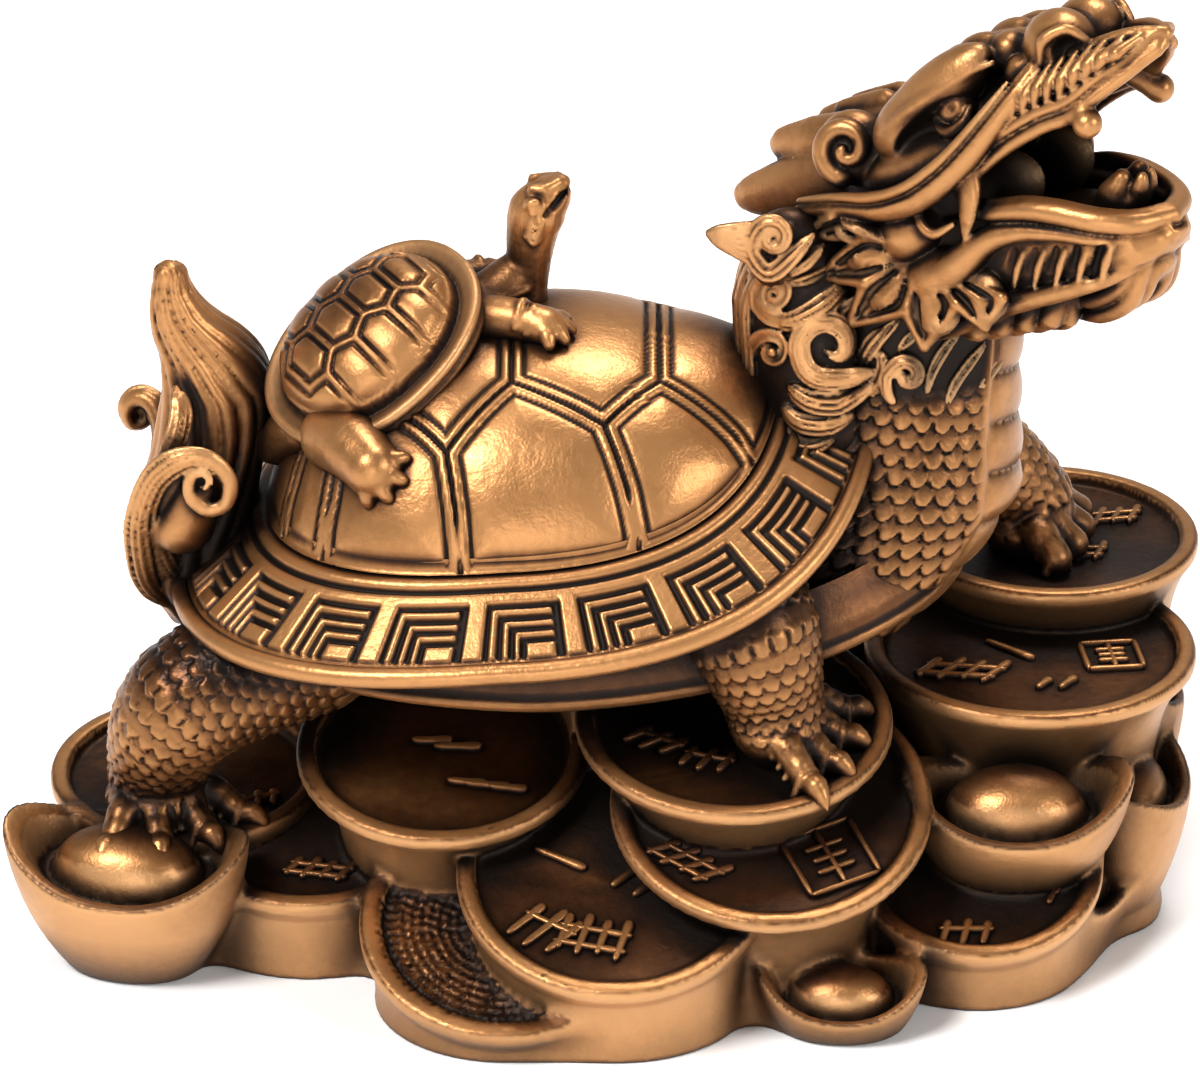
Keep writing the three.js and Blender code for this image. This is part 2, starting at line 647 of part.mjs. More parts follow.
function head() {
  const frame = turned(headAt, headYaw, headPitch, 0, headUnit);
  const lock = (route, radii, options = {}) =>
    limb(route.map((p) => point(...p)), radii, { ...options, matrix: frame });
  const bulb = (x, y, z, rx, ry, rz, sides, bands) => ball(x, y, z, rx, ry, rz, frame, sides, bands);
  const pieces = [bulb(5, 0, 5, 15, 11.5, 12.5, 10, 7)];

  // Upper jaw: wide lip below, narrow bridge above, hollow palate
  const upper = [
    [8, 11, 3, 18],
    [17, 10.2, 4, 17.6],
    [26, 9.3, 6.2, 15.2],
    [33, 7.8, 6.4, 14.2],
    [39, 5.4, 8.3, 13.6],
    [44.3, 2, 9.8, 12],
  ];
  const upperSection = [
    [0, 0.22],
    [0.6, 0.18],
    [0.88, 0],
    [1, 0.12],
    [0.8, 0.5],
    [0.42, 0.95],
    [-0.42, 0.95],
    [-0.8, 0.5],
    [-1, 0.12],
    [-0.88, 0],
    [-0.6, 0.18],
  ];
  pieces.push(loft(jawRings(upper, upperSection), frame));

  // Lower jaw: raised lip round a trough for the tongue
  const lower = [
    [3, 10.5, -12, 1.5],
    [19, 9.6, -12.3, -0.4],
    [28, 8.4, -12.4, -3.9],
    [32.4, 6, -12.2, -6.4],
    [35.4, 2.2, -11, -7.8],
  ];
  const lowerSection = [
    [0, 0.68],
    [0.66, 0.7],
    [0.8, 1],
    [1, 0.96],
    [0.88, 0.4],
    [0.42, 0],
    [-0.42, 0],
    [-0.88, 0.4],
    [-1, 0.96],
    [-0.8, 1],
    [-0.66, 0.7],
  ];
  pieces.push(loft(jawRings(lower, lowerSection), frame));
  const tongue = [
    [10, 0, -2.5],
    [22, 0, -4.4],
    [28, 0, -5],
    [30.3, 0, -2.6],
  ];
  pieces.push(lock(tongue, [3, 3.2, 2.6, 1.2], { sides: 5, steps: 3, flat: 0.55, wide: point(0, 1, 0) }));

  pieces.push(
    ...bothSides((side) => {
      const s = (x, y, z) => [x, side * y, z];
      const flatUp = { sides: 4, steps: 2, flat: 0.5, wide: point(0, 0, 1) };
      const spike = (from, to, radius) => lock([from, to], [radius, 0.6 * radius, 0.2], flatUp);
      return [
        // Nose bulb, brow, eye and moustache ridge
        bulb(...s(31.2, 3.3, 16), 3.1, 2.9, 3, 7, 5),
        lock(
          [s(4, 10, 8.6), s(7.5, 10.4, 13.2), s(14, 9.6, 15.8), s(21, 8.4, 15.4), s(26, 6.6, 12.6)],
          [0.6, 2.6, 2.9, 2.6, 1.4],
          { sides: 5, steps: 4 },
        ),
        bulb(...s(16.5, 5, 15.6), 4, 3.4, 2.6, 6, 4),
        bulb(...s(17, 8, 12), 2.4, 3, 2.3, 6, 5),
        lock(
          [
            s(29.5, 7, 14.2),
            s(24, 10, 9),
            s(17, 11.6, 5.2),
            s(10, 12.2, 4.2),
            s(2, 12.4, 6),
            s(-8, 12.8, 8.8),
          ],
          [1.4, 2.1, 2.2, 2.1, 1.9, 0.3],
          { sides: 5, steps: 7 },
        ),
        lock([s(16.8, 10.6, 5), s(16, 11.2, 1), s(13, 11.2, -2.8)], [2.2, 1.6, 0.3], { sides: 4, steps: 2 }),
        bulb(...s(33.4, 4.4, 6.6), 1.7, 1.6, 2.6, 5, 4),
        // Cheek, jaw muscle and the flame-edged frill behind the jaw
        bulb(...s(5.5, 9.6, 0.8), 6, 4, 4.6, 7, 5),
        bulb(...s(7, 9.2, -6.2), 6.5, 3.4, 3.6, 6, 5),
        spike(s(4, 12, 1.4), s(-8.6, 13.6, -0.8), 2.7),
        spike(s(3, 11.6, -3.4), s(-7.2, 13.4, -8), 2.7),
        spike(s(5, 11, -6), s(0.6, 12.4, -13), 2.6),
        spike(s(11, 10.4, -7), s(7.8, 10.8, -13.4), 2.2),
        // Horn curl and the smooth leaves behind the head
        solid(curl(point(...s(0.8, 11.6, 12.3)), point(0, side, 0), 4.1, 1.7).applyMatrix4(frame)),
        spike(s(-6, 5.5, 8), s(-23, 6.5, 12.4), 4.6),
        spike(s(-3, 5, 13), s(-16.5, 4.6, 17), 4),
        spike(s(4, 5.5, 15), s(-6, 5, 18.6), 3),
        // Beard below the chin and the curls of the throat
        lock(
          [s(29.5, 2.4, -10.6), s(26, 3, -14.4), s(21.5, 3.2, -16.6), s(16, 3, -16.6)],
          [2.2, 2.5, 2, 0.5],
          { sides: 5, steps: 3 },
        ),
        lock([s(20, 6, -12), s(16, 6.8, -15.4), s(12, 6.4, -15.2)], [2.2, 1.9, 0.6], { sides: 5, steps: 2 }),
      ];
    }),
  );
  return pieces;
}

function mane() {
  const u = maneUnit;
  const stations = [
    [58, 30, 10, 12.5],
    [68, 28, 11, 13.6],
    [80, 26.5, 10.4, 12],
    [92, 26, 8.8, 9],
    [101, 28.5, 7, 7],
  ];
  const mass = loft(stations.map(([z, x, rx, ry]) => oval(x, 0, z, rx * u, ry * u, 10)));
  const along = (side) => (x, y, z) => point(x, side * y * u, z);
  const whorls = [
    [20.6, 9.6, 94, 2.9],
    [20.6, 11, 85.6, 3],
    [20.4, 11.6, 77.6, 2.7],
    [28.3, 14.2, 80.4, 4.4],
    [37.6, 12.6, 76.4, 3.2],
    [27, 13.6, 71, 3],
  ];
  const locks = [
    [[22, 12, 83], [18, 12, 81], [16.4, 11, 85], 2],
    [[24, 14, 75], [30, 15, 72.6], [35, 14.4, 76], 2.2],
    [[20, 11, 72], [26, 14.6, 67.6], [33, 14.4, 68.4], 2.2],
    [[34, 11.5, 88], [33.6, 13.4, 82], [38, 13, 79.6], 2.2],
    [[19, 8, 68], [25, 12, 63.6], [32, 13, 64.4], 2.2],
  ];
  const sides = bothSides((side) => {
    const at = along(side);
    const facing = (x) => point(x < 24 ? -0.75 : -0.1, side, 0.05);
    const shown = side < 0 ? whorls : whorls.slice(0, 5);
    const crest = [at(24, 8, 92), at(19, 9.6, 92.6), at(side < 0 ? 12.8 : 17.6, 9, 93.8)];
    return [
      limb(crest, [2.6, 2.1, 0.2], { sides: 4, steps: 3 }),
      ...shown.map(([x, y, z, radius]) => solid(curl(at(x, y, z), facing(x), radius * u, 1.2))),
      ...locks.map(([from, mid, to, radius]) =>
        limb([at(...from), at(...mid), at(...to)], [radius, 0.8 * radius, 0.2], { sides: 4, steps: 3 }),
      ),
    ];
  });
  return [mass, ...sides];
}

function tail() {
  const frame = turned(tailRootAt, tailYaw, 0, 0, tailUnit);
  const stations = [
    [-2, 4, 7, 6],
    [6, 0.6, 8, 8],
    [13, 0.6, 7.4, 8.6],
    [21, 3, 6.6, 7.8],
    [29, 5, 7.2, 7],
    [35, 2.4, 5.8, 5.6],
    [39.5, 0.2, 3.6, 3.8],
    [43, -0.9, 1.9, 2.2],
    [46, -0.7, 0.4, 0.5],
  ];
  const flame = loft(stations.map(([z, x, rx, ry]) => oval(x, 0, z, rx, ry, 10)), frame);
  const lock = (route, radii) => limb(route, radii, { sides: 5, steps: 3, matrix: frame });
  const sides = bothSides((side) => {
    const eye = curl(point(-0.6, side * 12, 21.6), point(-0.25, side, 0.1), 4.5, 1.8, 10);
    return [
      solid(eye.applyMatrix4(frame)),
      lock([point(-3, side * 6, 3), point(-5.6, side * 8.6, 12), point(-1, side * 11, 19)], [3, 3, 2]),
      lock([point(2, side * 6, 20), point(6, side * 5.4, 30), point(3, side * 2.6, 38)], [3, 2.6, 0.4]),
    ];
  });
  return [flame, ...sides];
}

function youngTurtle() {
  const frame = turned(youngAt, youngYaw, youngPitch, youngRoll, youngUnit);
  const ring = (share, up) => oval(0, 0, up, share * 15.2, share * 13.2, 16, 2.2);
  const shell = loft(
    [
      ring(0.55, -4.6),
      ring(0.97, -0.8),
      ring(1, 0.5),
      ring(0.9, 1.3),
      ring(0.77, 2.8),
      ring(0.6, 5),
      ring(0.34, 6.8),
    ],
    frame,
  );
  const u = youngUnit;
  const at = (x, y, z) => youngAt.clone().add(point(x * u, y * u, z * u));
  const bodyNeck = [at(6, 3, 2), at(14, 7, 4), at(17.6, 8, 8.5), at(18.2, 8, 13.4)];
  const face = turned(at(19.4, 8, 15.4), -8, 38, 0, u);
  const leg = (route, radius) =>
    limb(route.map((p) => at(...p)), [radius, 0.9 * radius, 0.75 * radius], { sides: 5, steps: 3 });
  const foot = (x, y, radius) => {
    const spot = at(x, y, 0);
    const level = shellHeight(spot.x, spot.y) + 0.9 * u;
    return ball(spot.x, spot.y, level, radius * u, 0.8 * radius * u, 1.5 * u, null, 7, 4);
  };
  return [
    shell,
    limb(bodyNeck, [4.4, 3.6, 3.2, 3].map((radius) => radius * u), { sides: 6, steps: 4 }),
    ball(0.6, 0, 0, 4.9, 3.1, 3, face, 8, 6),
    leg([[6, -3, 1], [13, -3.6, 3], [20, -4.4, 2.6]], 2.8),
    leg([[4, 8, 3], [12, 12, 2], [16, 13.5, 0.5]], 2.6),
    leg([[-8, -5, -4], [-5, -11, -8.5], [-1, -15.4, -11]], 3),
    leg([[-10, 0, -6], [-12, 2, -13], [-13, 2.4, -17]], 2.6),
    foot(21, -4.4, 3.2),
    foot(16.4, 13.6, 2.8),
    foot(-0.6, -15.8, 3.6),
    foot(-12.6, 2.4, 2.8),
  ];
}

const whole = join([
  ...bed(),
  carapace(),
  ...bandBars(),
  dome(),
  belly(),
  neck(),
  ...legs(),
  ...head(),
  ...mane(),
  ...tail(),
  ...youngTurtle(),
]);

// The underside is cut flat at the floor, and hollows closed in between the pieces of the bed are cast solid
const below = new THREE.BoxGeometry(400, 400, 40).translate(0, 0, -20);
const skins = whole.subtract(solid(below)).decompose();
const cast = join(skins.filter((skin) => skin.volume() > 0));

const full = cast.getMesh();
const { vertProperties, triVerts } = lightened(full.vertProperties, full.triVerts, finestRelief).getMesh();
const castGeometry = new THREE.BufferGeometry();
castGeometry.setAttribute("position", new THREE.BufferAttribute(vertProperties, 3));
castGeometry.setIndex(new THREE.BufferAttribute(triVerts, 1));
castGeometry.computeVertexNormals();

const bronzeFinish = new THREE.MeshStandardMaterial({ color: 0x8a5a2c, roughness: 0.42, metalness: 0.75 });
bronzeFinish.flatShading = true;
const dragonTurtle = new THREE.Mesh(castGeometry, bronzeFinish);
dragonTurtle.name = "dragon_turtle";

const figure = new THREE.Group();
figure.add(dragonTurtle);
export default figure;
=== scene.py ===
import math
import bpy
import numpy as np
from mathutils import Euler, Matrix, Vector


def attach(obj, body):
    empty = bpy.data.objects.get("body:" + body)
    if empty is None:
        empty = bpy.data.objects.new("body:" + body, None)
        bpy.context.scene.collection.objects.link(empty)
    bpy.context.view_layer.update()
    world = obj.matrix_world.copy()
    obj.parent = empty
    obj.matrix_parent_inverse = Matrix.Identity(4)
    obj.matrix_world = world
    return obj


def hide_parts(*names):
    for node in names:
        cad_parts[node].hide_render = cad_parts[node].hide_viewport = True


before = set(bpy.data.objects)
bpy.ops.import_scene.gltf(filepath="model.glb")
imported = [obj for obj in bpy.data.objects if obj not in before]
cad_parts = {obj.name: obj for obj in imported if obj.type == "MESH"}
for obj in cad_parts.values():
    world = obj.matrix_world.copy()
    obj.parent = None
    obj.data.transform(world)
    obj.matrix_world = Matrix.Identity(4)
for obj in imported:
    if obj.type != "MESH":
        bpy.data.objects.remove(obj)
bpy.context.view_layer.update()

# Lengths are in millimetres until a mesh is made
MM = 0.001
FAR = 6.0
TINY = 1e-6

# Camera: looks along +Y, TILT_DOWN degrees down, from SIGHT mm before a spot AIM mm above the ground
SIGHT, AIM, TILT_DOWN, LENS, SENSOR = 700, 48.5, 26, 168, 36
FRAME_WIDTH, FRAME_HEIGHT = 1200, 1075
SIN_TILT, COS_TILT = 0.438, 0.899
camera_data = bpy.data.cameras.new("camera")
camera_data.lens = LENS
camera_data.sensor_width = SENSOR
camera_data.sensor_fit = "HORIZONTAL"
camera_data.clip_end = 20
camera = bpy.data.objects.new("camera", camera_data)
camera.location = (0, -0.62916, 0.35536)
camera.rotation_euler = Euler((math.radians(90 - TILT_DOWN), 0, 0))
bpy.context.scene.collection.objects.link(camera)
bpy.context.scene.camera = camera


def smin(a, b, soft):
    """Soft minimum of two distances"""
    near = np.maximum(soft - np.abs(a - b), 0)
    return np.minimum(a, b) - near * near / (4 * soft)


def smax(a, b, soft):
    """Soft maximum of two distances"""
    return -smin(-a, -b, soft)


def step_between(low, high, value):
    """A smooth step from 0 at low to 1 at high. It falls where high is the smaller one"""
    t = np.clip((value - low) / (high - low), 0, 1)
    return t * t * (3 - 2 * t)


def unit(vector):
    v = np.asarray(vector, float)
    return v / max(np.linalg.norm(v), 1e-9)


def ray(degrees):
    """Unit vector in a plane"""
    return np.array([math.cos(math.radians(degrees)), math.sin(math.radians(degrees))])


def unit_axes(first, facing):
    """Axes whose second column is the facing direction and whose first is as near as can be to a given one"""
    second = unit(facing)
    one = unit(np.asarray(first, float) - np.dot(first, second) * second)
    return np.stack([one, second, np.cross(one, second)], 1)


def turned(yaw, pitch, roll=0):
    """Axes (forward, left, up as columns) of a frame turned by yaw, pitched up and rolled"""
    a, b, c = np.radians([yaw, pitch, roll])
    forward = np.array([np.cos(b) * np.cos(a), np.cos(b) * np.sin(a), np.sin(b)])
    left = np.array([-np.sin(a), np.cos(a), 0])
    up = np.cross(forward, left)
    rolled_left = left * np.cos(c) + up * np.sin(c)
    rolled_up = up * np.cos(c) - left * np.sin(c)
    return np.stack([forward, rolled_left, rolled_up], 1)


def at_level(stations, level):
    """The three values of a list of stations at a level (the first value of each station)"""
    s = np.asarray(stations, float)
    return [np.interp(level, s[:, 0], s[:, k]) for k in (1, 2, 3)]


def squircle(x, y, half_x, half_y, power):
    """How far out a spot is in a squarish oval: 1 is on the line"""
    return ((np.abs(x) / half_x) ** power + (np.abs(y) / half_y) ** power) ** (1 / power)


def off_ellipsoid(k0, k1, radius):
    """Distance to an ellipsoid from its two norms"""
    return np.where(k0 < 1, (k0 - 1) * radius, k0 * (k0 - 1) / k1)


def smooth_route(points, radii, spacing=0.9):
    """A smooth route through points, as evenly spread samples with their radii"""
    p = np.asarray(points, float)
    r = np.interp(np.linspace(0, 1, len(p)), np.linspace(0, 1, len(radii)), radii)
    ext = np.vstack([2 * p[0] - p[1], p, 2 * p[-1] - p[-2]])
    rext = np.concatenate([[r[0]], r, [r[-1]]])
    out, out_r = [], []
    for i in range(1, len(p)):
        a, b, c, d = ext[i - 1 : i + 3]
        parts = max(2, int(math.ceil(np.linalg.norm(c - b) / spacing)))
        for k in range(parts):
            t = k / parts
            out.append(0.5 * (2 * b + (c - a) * t + (2 * a - 5 * b + 4 * c - d) * t**2
                              + (3 * b - a - 3 * c + d) * t**3))
            out_r.append(rext[i] + (rext[i + 1] - rext[i]) * t)
    return np.array(out + [p[-1]]), np.array(out_r + [r[-1]])


class Clay:
    """Distances to a surface on a grid of cubes, in millimetres, in a frame of its own.
    A mirrored one holds the half with y above 0 and is doubled before its skin is made."""

    MARGIN = 2.6  # how far round a form its distances are kept

    def __init__(self, low, high, step, axes=None, at=(0, 0, 0), mirrored=False):
        self.step = step
        self.low = np.array(low, float)
        if mirrored:
            self.low[1] = 0
        self.mirrored = mirrored
        self.size = [int(math.ceil((h - l) / step)) + 1 for l, h in zip(self.low, high)]
        self.field = np.full(self.size, FAR, np.float32)
        self.axes = np.eye(3) if axes is None else axes
        self.at = np.array(at, float)

    def region(self, low, high):
        """The part of the grid between two corners, and its x, y and z"""
        a = np.floor((np.asarray(low) - self.low) / self.step).astype(int)
        b = np.ceil((np.asarray(high) - self.low) / self.step).astype(int) + 1
        a = np.clip(a, 0, self.size)
        b = np.maximum(np.clip(b, 0, self.size), a)
        part = tuple(slice(i, j) for i, j in zip(a, b))
        x, y, z = [(self.low[i] + self.step * np.arange(a[i], b[i])).astype(np.float32) for i in range(3)]
        return part, x[:, None, None], y[None, :, None], z[None, None, :]

    def add(self, part, distance, soft=0.5, carve=False):
        if carve:
            self.field[part] = smax(self.field[part], -distance, soft)
        else:
            self.field[part] = smin(self.field[part], distance, soft)

    def strand(self, route, radii, soft=0.5, flat=1.0, wide=None, carve=False, spacing=0.9):
        """A tapered strand, broad along the vector wide where flat is under 1"""
        points, r = smooth_route(route, radii, spacing)
        reach = r.max() + self.MARGIN
        part = self.region(points.min(0) - reach, points.max(0) + reach)[0]
        out = np.full(self.field[part].shape, FAR, np.float32)
        if not out.size:
            return
        for a, b, ra, rb in zip(points[:-1], points[1:], r[:-1], r[1:]):
            size = np.linalg.norm(b - a)
            if size < TINY:
                continue
            way = (b - a) / size
            near = max(ra, rb) + self.MARGIN
            sub, sx, sy, sz = self.region(np.minimum(a, b) - near, np.maximum(a, b) + near)
            if not self.field[sub].size:
                continue
            here = tuple(slice(s.start - p.start, s.stop - p.start) for s, p in zip(sub, part))
            px, py, pz = sx - a[0], sy - a[1], sz - a[2]
            t = np.clip((px * way[0] + py * way[1] + pz * way[2]) / size, 0, 1)
            cx, cy, cz = [p - t * size * w for p, w in zip((px, py, pz), way)]
            radius = ra + (rb - ra) * t
            square = cx * cx + cy * cy + cz * cz
            if flat == 1.0:
                d = np.sqrt(square) - radius
            else:
                w = np.asarray(wide, float)
                n = np.cross(way, unit(w - w.dot(way) * way))
                thin = cx * n[0] + cy * n[1] + cz * n[2]
                broad2 = np.maximum(square - thin * thin, 0)
                rn = np.maximum(radius * flat, 0.05)
                k0 = np.sqrt(broad2 / radius**2 + thin * thin / rn**2)
                k1 = np.sqrt(broad2 / radius**4 + thin * thin / rn**4) + TINY
                d = off_ellipsoid(k0, k1, rn)
            out[here] = np.minimum(out[here], d)
        self.add(part, out, soft, carve)

    def lump(self, centre, radii, soft=0.5, axes=None, carve=False):
        """An ellipsoid"""
        c = np.asarray(centre, float)
        reach = max(radii) + self.MARGIN
        part, x, y, z = self.region(c - reach, c + reach)
        if not self.field[part].size:
            return
        u = x - c[0], y - c[1], z - c[2]
        if axes is not None:
            u = [u[0] * axes[0, i] + u[1] * axes[1, i] + u[2] * axes[2, i] for i in range(3)]
        k0 = np.sqrt(sum((v / r) ** 2 for v, r in zip(u, radii)))
        k1 = np.sqrt(sum((v / r**2) ** 2 for v, r in zip(u, radii))) + TINY
        self.add(part, off_ellipsoid(k0, k1, min(radii)), soft, carve)

    def relief(self, height, reach=1.6):
        """Raises the surface by a height given over the whole grid, where the surface is near"""
        near = np.abs(self.field) < reach
        raised = height(*(self.low[k] + self.step * i for k, i in enumerate(np.nonzero(near))))
        values = self.field[near]
        fade = 1 - np.clip((np.abs(values) - 0.6 * reach) / (0.4 * reach), 0, 1)
        self.field[near] = values - raised * fade

    def whole(self):
        """Doubles a mirrored grid"""
        if self.mirrored:
            self.field = np.concatenate([self.field[:, :0:-1], self.field], 1)
            self.low[1] = -self.step * (self.size[1] - 1)
            self.size = list(self.field.shape)
            self.mirrored = False

    def sample(self, points):
        q = (points - self.low) / self.step
        q = np.clip(q, 0, np.array(self.size) - 1.001)
        i = q.astype(int)
        f = q - i
        out = 0
        for move in np.ndindex(2, 2, 2):
            w = np.prod(np.abs(1 - np.array(move) - f), 1)
            out = out + w * self.field[tuple((i + move).T)]
        return out

    def slope(self, points):
        h = 0.5 * self.step
        return np.stack([(self.sample(points + move) - self.sample(points - move)) / (2 * h)
                         for move in h * np.eye(3)], 1)

    def skin(self):
        """The surface as points and four-cornered faces, with one point in each cube that it crosses"""
        self.whole()
        f = self.field
        for axis in range(3):
            for end in (slice(0, 1), slice(-1, None)):
                where = tuple(end if a == axis else slice(None) for a in range(3))
                f[where] = np.maximum(f[where], 0.2)
        inside = f < 0
        cells = np.array(f.shape) - 1
        stride = np.array([cells[1] * cells[2], cells[2], 1])
        owners, spots, quads = [], [], []
        for axis in range(3):
            one, two = [tuple(part if a == axis else slice(None) for a in range(3))
                        for part in (slice(0, -1), slice(1, None))]
            idx = np.stack(np.nonzero(inside[one] != inside[two]), 1)
            u, v = [a for a in range(3) if a != axis]
            idx = idx[(idx[:, u] > 0) & (idx[:, v] > 0) & (idx[:, u] < cells[u]) & (idx[:, v] < cells[v])]
            unit_step = np.eye(3, dtype=int)
            f0, f1 = f[tuple(idx.T)], f[tuple((idx + unit_step[axis]).T)]
            spot = idx.astype(float)
            spot[:, axis] += f0 / (f0 - f1)
            around = [(idx + du * unit_step[u] + dv * unit_step[v]) @ stride
                      for du, dv in ((0, 0), (-1, 0), (-1, -1), (0, -1))]
            owners += around
            spots += [spot] * 4
            quad = np.stack(around, 1)
            turn = (f0 < 0) == (axis != 1)
            quad[~turn] = quad[~turn][:, ::-1]
            quads.append(quad)
        owners, spots, quads = np.concatenate(owners), np.concatenate(spots), np.concatenate(quads)
        known, inverse = np.unique(owners, return_inverse=True)
        count = np.bincount(inverse)
        points = np.stack([np.bincount(inverse, spots[:, a]) / count for a in range(3)], 1)
        points = self.low + self.step * points
        for _ in range(2):
            value, grad = self.sample(points), self.slope(points)
            size = np.maximum((grad**2).sum(1), 0.15)
            shift = -(value / size)[:, None] * grad
            points = points + np.clip(shift, -0.4 * self.step, 0.4 * self.step)
        return points, np.searchsorted(known, quads)

    def wear(self, points, normals):
        """How open and how sharp-edged the surface is at each point, both from 0 to 1"""
        airy = sum(w * np.clip(self.sample(points + h * normals) / h, 0, 1)
                   for h, w in ((0.45, 0.3), (1.0, 0.4), (2.2, 0.3)))
        sharp = sum(w * (1 - np.clip(-self.sample(points - h * normals) / h, 0, 1))
                    for h, w in ((0.4, 0.5), (0.9, 0.5)))
        return airy, sharp


# Bronze from the darkest hollow to the plain surface, whose dark end also serves painted shade, and the pale
# tone of worn edges and of walls, where it is a painted reflection
PATINA_AND_SHADE = ((0.22, (0.010, 0.0055, 0.0035)), (0.44, (0.036, 0.014, 0.006)), (0.64, (0.13, 0.05, 0.016)),
          (0.83, (0.29, 0.128, 0.043)), (1.0, (0.45, 0.21, 0.075)))
# How far the occlusion node looks: it paints shade into the colour, in crevices and under parts that overhang
CREVICE = 0.009


def bronze(name):
    """Dark patina in the hollows, with painted shade from ambient occlusion and from per-point values, and
    worn gold on what stands out, with a painted reflection on the bed's walls
    """
    material = bpy.data.materials.new(name)
    material.use_nodes = True
    nodes, links = material.node_tree.nodes, material.node_tree.links
    shader = nodes["Principled BSDF"]
    shader.inputs["Metallic"].default_value = 0.8
    shader.inputs["Specular IOR Level"].default_value = 0.5

    def node(kind, **values):
        made = nodes.new(kind)
        for key, value in values.items():
            setattr(made, key, value)
        return made

    def math_node(operation, a, b=None, clamp=False):
        made = node("ShaderNodeMath", operation=operation, use_clamp=clamp)
        for slot, value in zip(made.inputs, (a, b)):
            if isinstance(value, (int, float)):
                slot.default_value = value
            elif value is not None:
                links.new(value, slot)
        return made.outputs[0]

    def noise(scale, detail):
        made = node("ShaderNodeTexNoise")
        made.inputs["Scale"].default_value = scale
        made.inputs["Detail"].default_value = detail
        links.new(place, made.inputs["Vector"])
        return made.outputs["Fac"]

    def scaled(value, factor):
        return math_node("MULTIPLY", value, factor)

    airy, sharp, tone_and_painted_light = [node("ShaderNodeAttribute", attribute_name=label).outputs["Fac"]
                          for label in ("open", "edge", "tone_and_painted_light")]
    place = node("ShaderNodeTexCoord").outputs["Object"]
    # Painted shade: ambient occlusion darkens the colour in crevices, under overhangs and where pieces meet,
    # on top of the patina
    shade = node("ShaderNodeAmbientOcclusion", samples=4)
    shade.inputs["Distance"].default_value = CREVICE
    cloud, speck, grain = noise(70, 5), noise(700, 5), noise(2600, 2)
    cloudy = scaled(math_node("SUBTRACT", cloud, 0.5), 0.42)
    specked = scaled(math_node("SUBTRACT", speck, 0.5), 0.2)
    shaded = math_node("POWER", shade.outputs["AO"], 1.35)
    hollow = math_node("MULTIPLY", math_node("POWER", airy, 1.5), shaded)
    patina_shade_and_mottle = math_node("ADD", math_node("ADD", hollow, cloudy), specked)
    level = math_node("SUBTRACT", math_node("ADD", patina_shade_and_mottle, scaled(sharp, 0.2)), tone_and_painted_light, clamp=True)
    ramp = node("ShaderNodeValToRGB")
    stops = ramp.color_ramp.elements
    for stop, (position, color) in zip((stops[0], stops[1]), (PATINA_AND_SHADE[0], PATINA_AND_SHADE[-1])):
        stop.position, stop.color = position, (*color, 1)
    for position, color in PATINA_AND_SHADE[1:-1]:
        stops.new(position).color = (*color, 1)
    links.new(level, ramp.inputs["Fac"])
    # Pale gold on worn edges and rims, and a painted reflection of the pale floor on the bed's walls
    pale_wear_and_reflection = node("ShaderNodeMix", data_type="RGBA")
    pale_wear_and_reflection.inputs[7].default_value = (0.75, 0.44, 0.21, 1)
    links.new(ramp.outputs["Color"], pale_wear_and_reflection.inputs[6])
    worn_edge = math_node("MULTIPLY", math_node("SUBTRACT", sharp, 0.3), scaled(hollow, 0.8), clamp=True)
    rim_wear_and_wall_reflection = math_node("MULTIPLY", math_node("MULTIPLY", tone_and_painted_light, -1.9, clamp=True), hollow)
    links.new(math_node("ADD", worn_edge, rim_wear_and_wall_reflection, clamp=True), pale_wear_and_reflection.inputs[0])
    links.new(pale_wear_and_reflection.outputs[2], shader.inputs["Base Color"])
    gloss = math_node("ADD", scaled(hollow, -0.22), 0.58)
    links.new(math_node("ADD", gloss, scaled(cloudy, 0.35)), shader.inputs["Roughness"])
    bump = node("ShaderNodeBump")
    bump.inputs["Strength"].default_value = 0.22
    bump.inputs["Distance"].default_value = 0.0004
    links.new(math_node("ADD", speck, scaled(grain, 0.4)), bump.inputs["Height"])
    links.new(bump.outputs["Normal"], shader.inputs["Normal"])
    return material


cast_bronze = bronze("cast_bronze")


def finish_piece(name, mesh, airy, sharp, tone_and_painted_light=None):
    """Makes the object of a mesh, with how open and sharp it is at each point, and a value that darkens or
    pales it there, for its tone and for painted shade and reflection
    """
    tone_and_painted_light = np.zeros(len(mesh.vertices)) if tone_and_painted_light is None else tone_and_painted_light
    for label, values in (("open", airy), ("edge", sharp), ("tone_and_painted_light", tone_and_painted_light)):
        layer = mesh.attributes.new(label, "FLOAT", "POINT")
        layer.data.foreach_set("value", np.ascontiguousarray(values, np.float32))
    mesh.materials.clear()
    mesh.materials.append(cast_bronze)
    mesh.polygons.foreach_set("use_smooth", np.ones(len(mesh.polygons), bool))
    piece = bpy.data.objects.new(name, mesh)
    bpy.context.scene.collection.objects.link(piece)
    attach(piece, "root")
    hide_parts("dragon_turtle")
    return piece


def mesh_of(name, points, faces):
    mesh = bpy.data.meshes.new(name)
    mesh.vertices.add(len(points))
    mesh.vertices.foreach_set("co", np.ascontiguousarray(points, np.float32).ravel())
    sides = faces.shape[1]
    mesh.loops.add(faces.size)
    mesh.loops.foreach_set("vertex_index", np.ascontiguousarray(faces, np.int32).ravel())
    mesh.polygons.add(len(faces))
    mesh.polygons.foreach_set("loop_start", np.arange(0, faces.size, sides, dtype=np.int32))
    mesh.update(calc_edges=True)
    return mesh


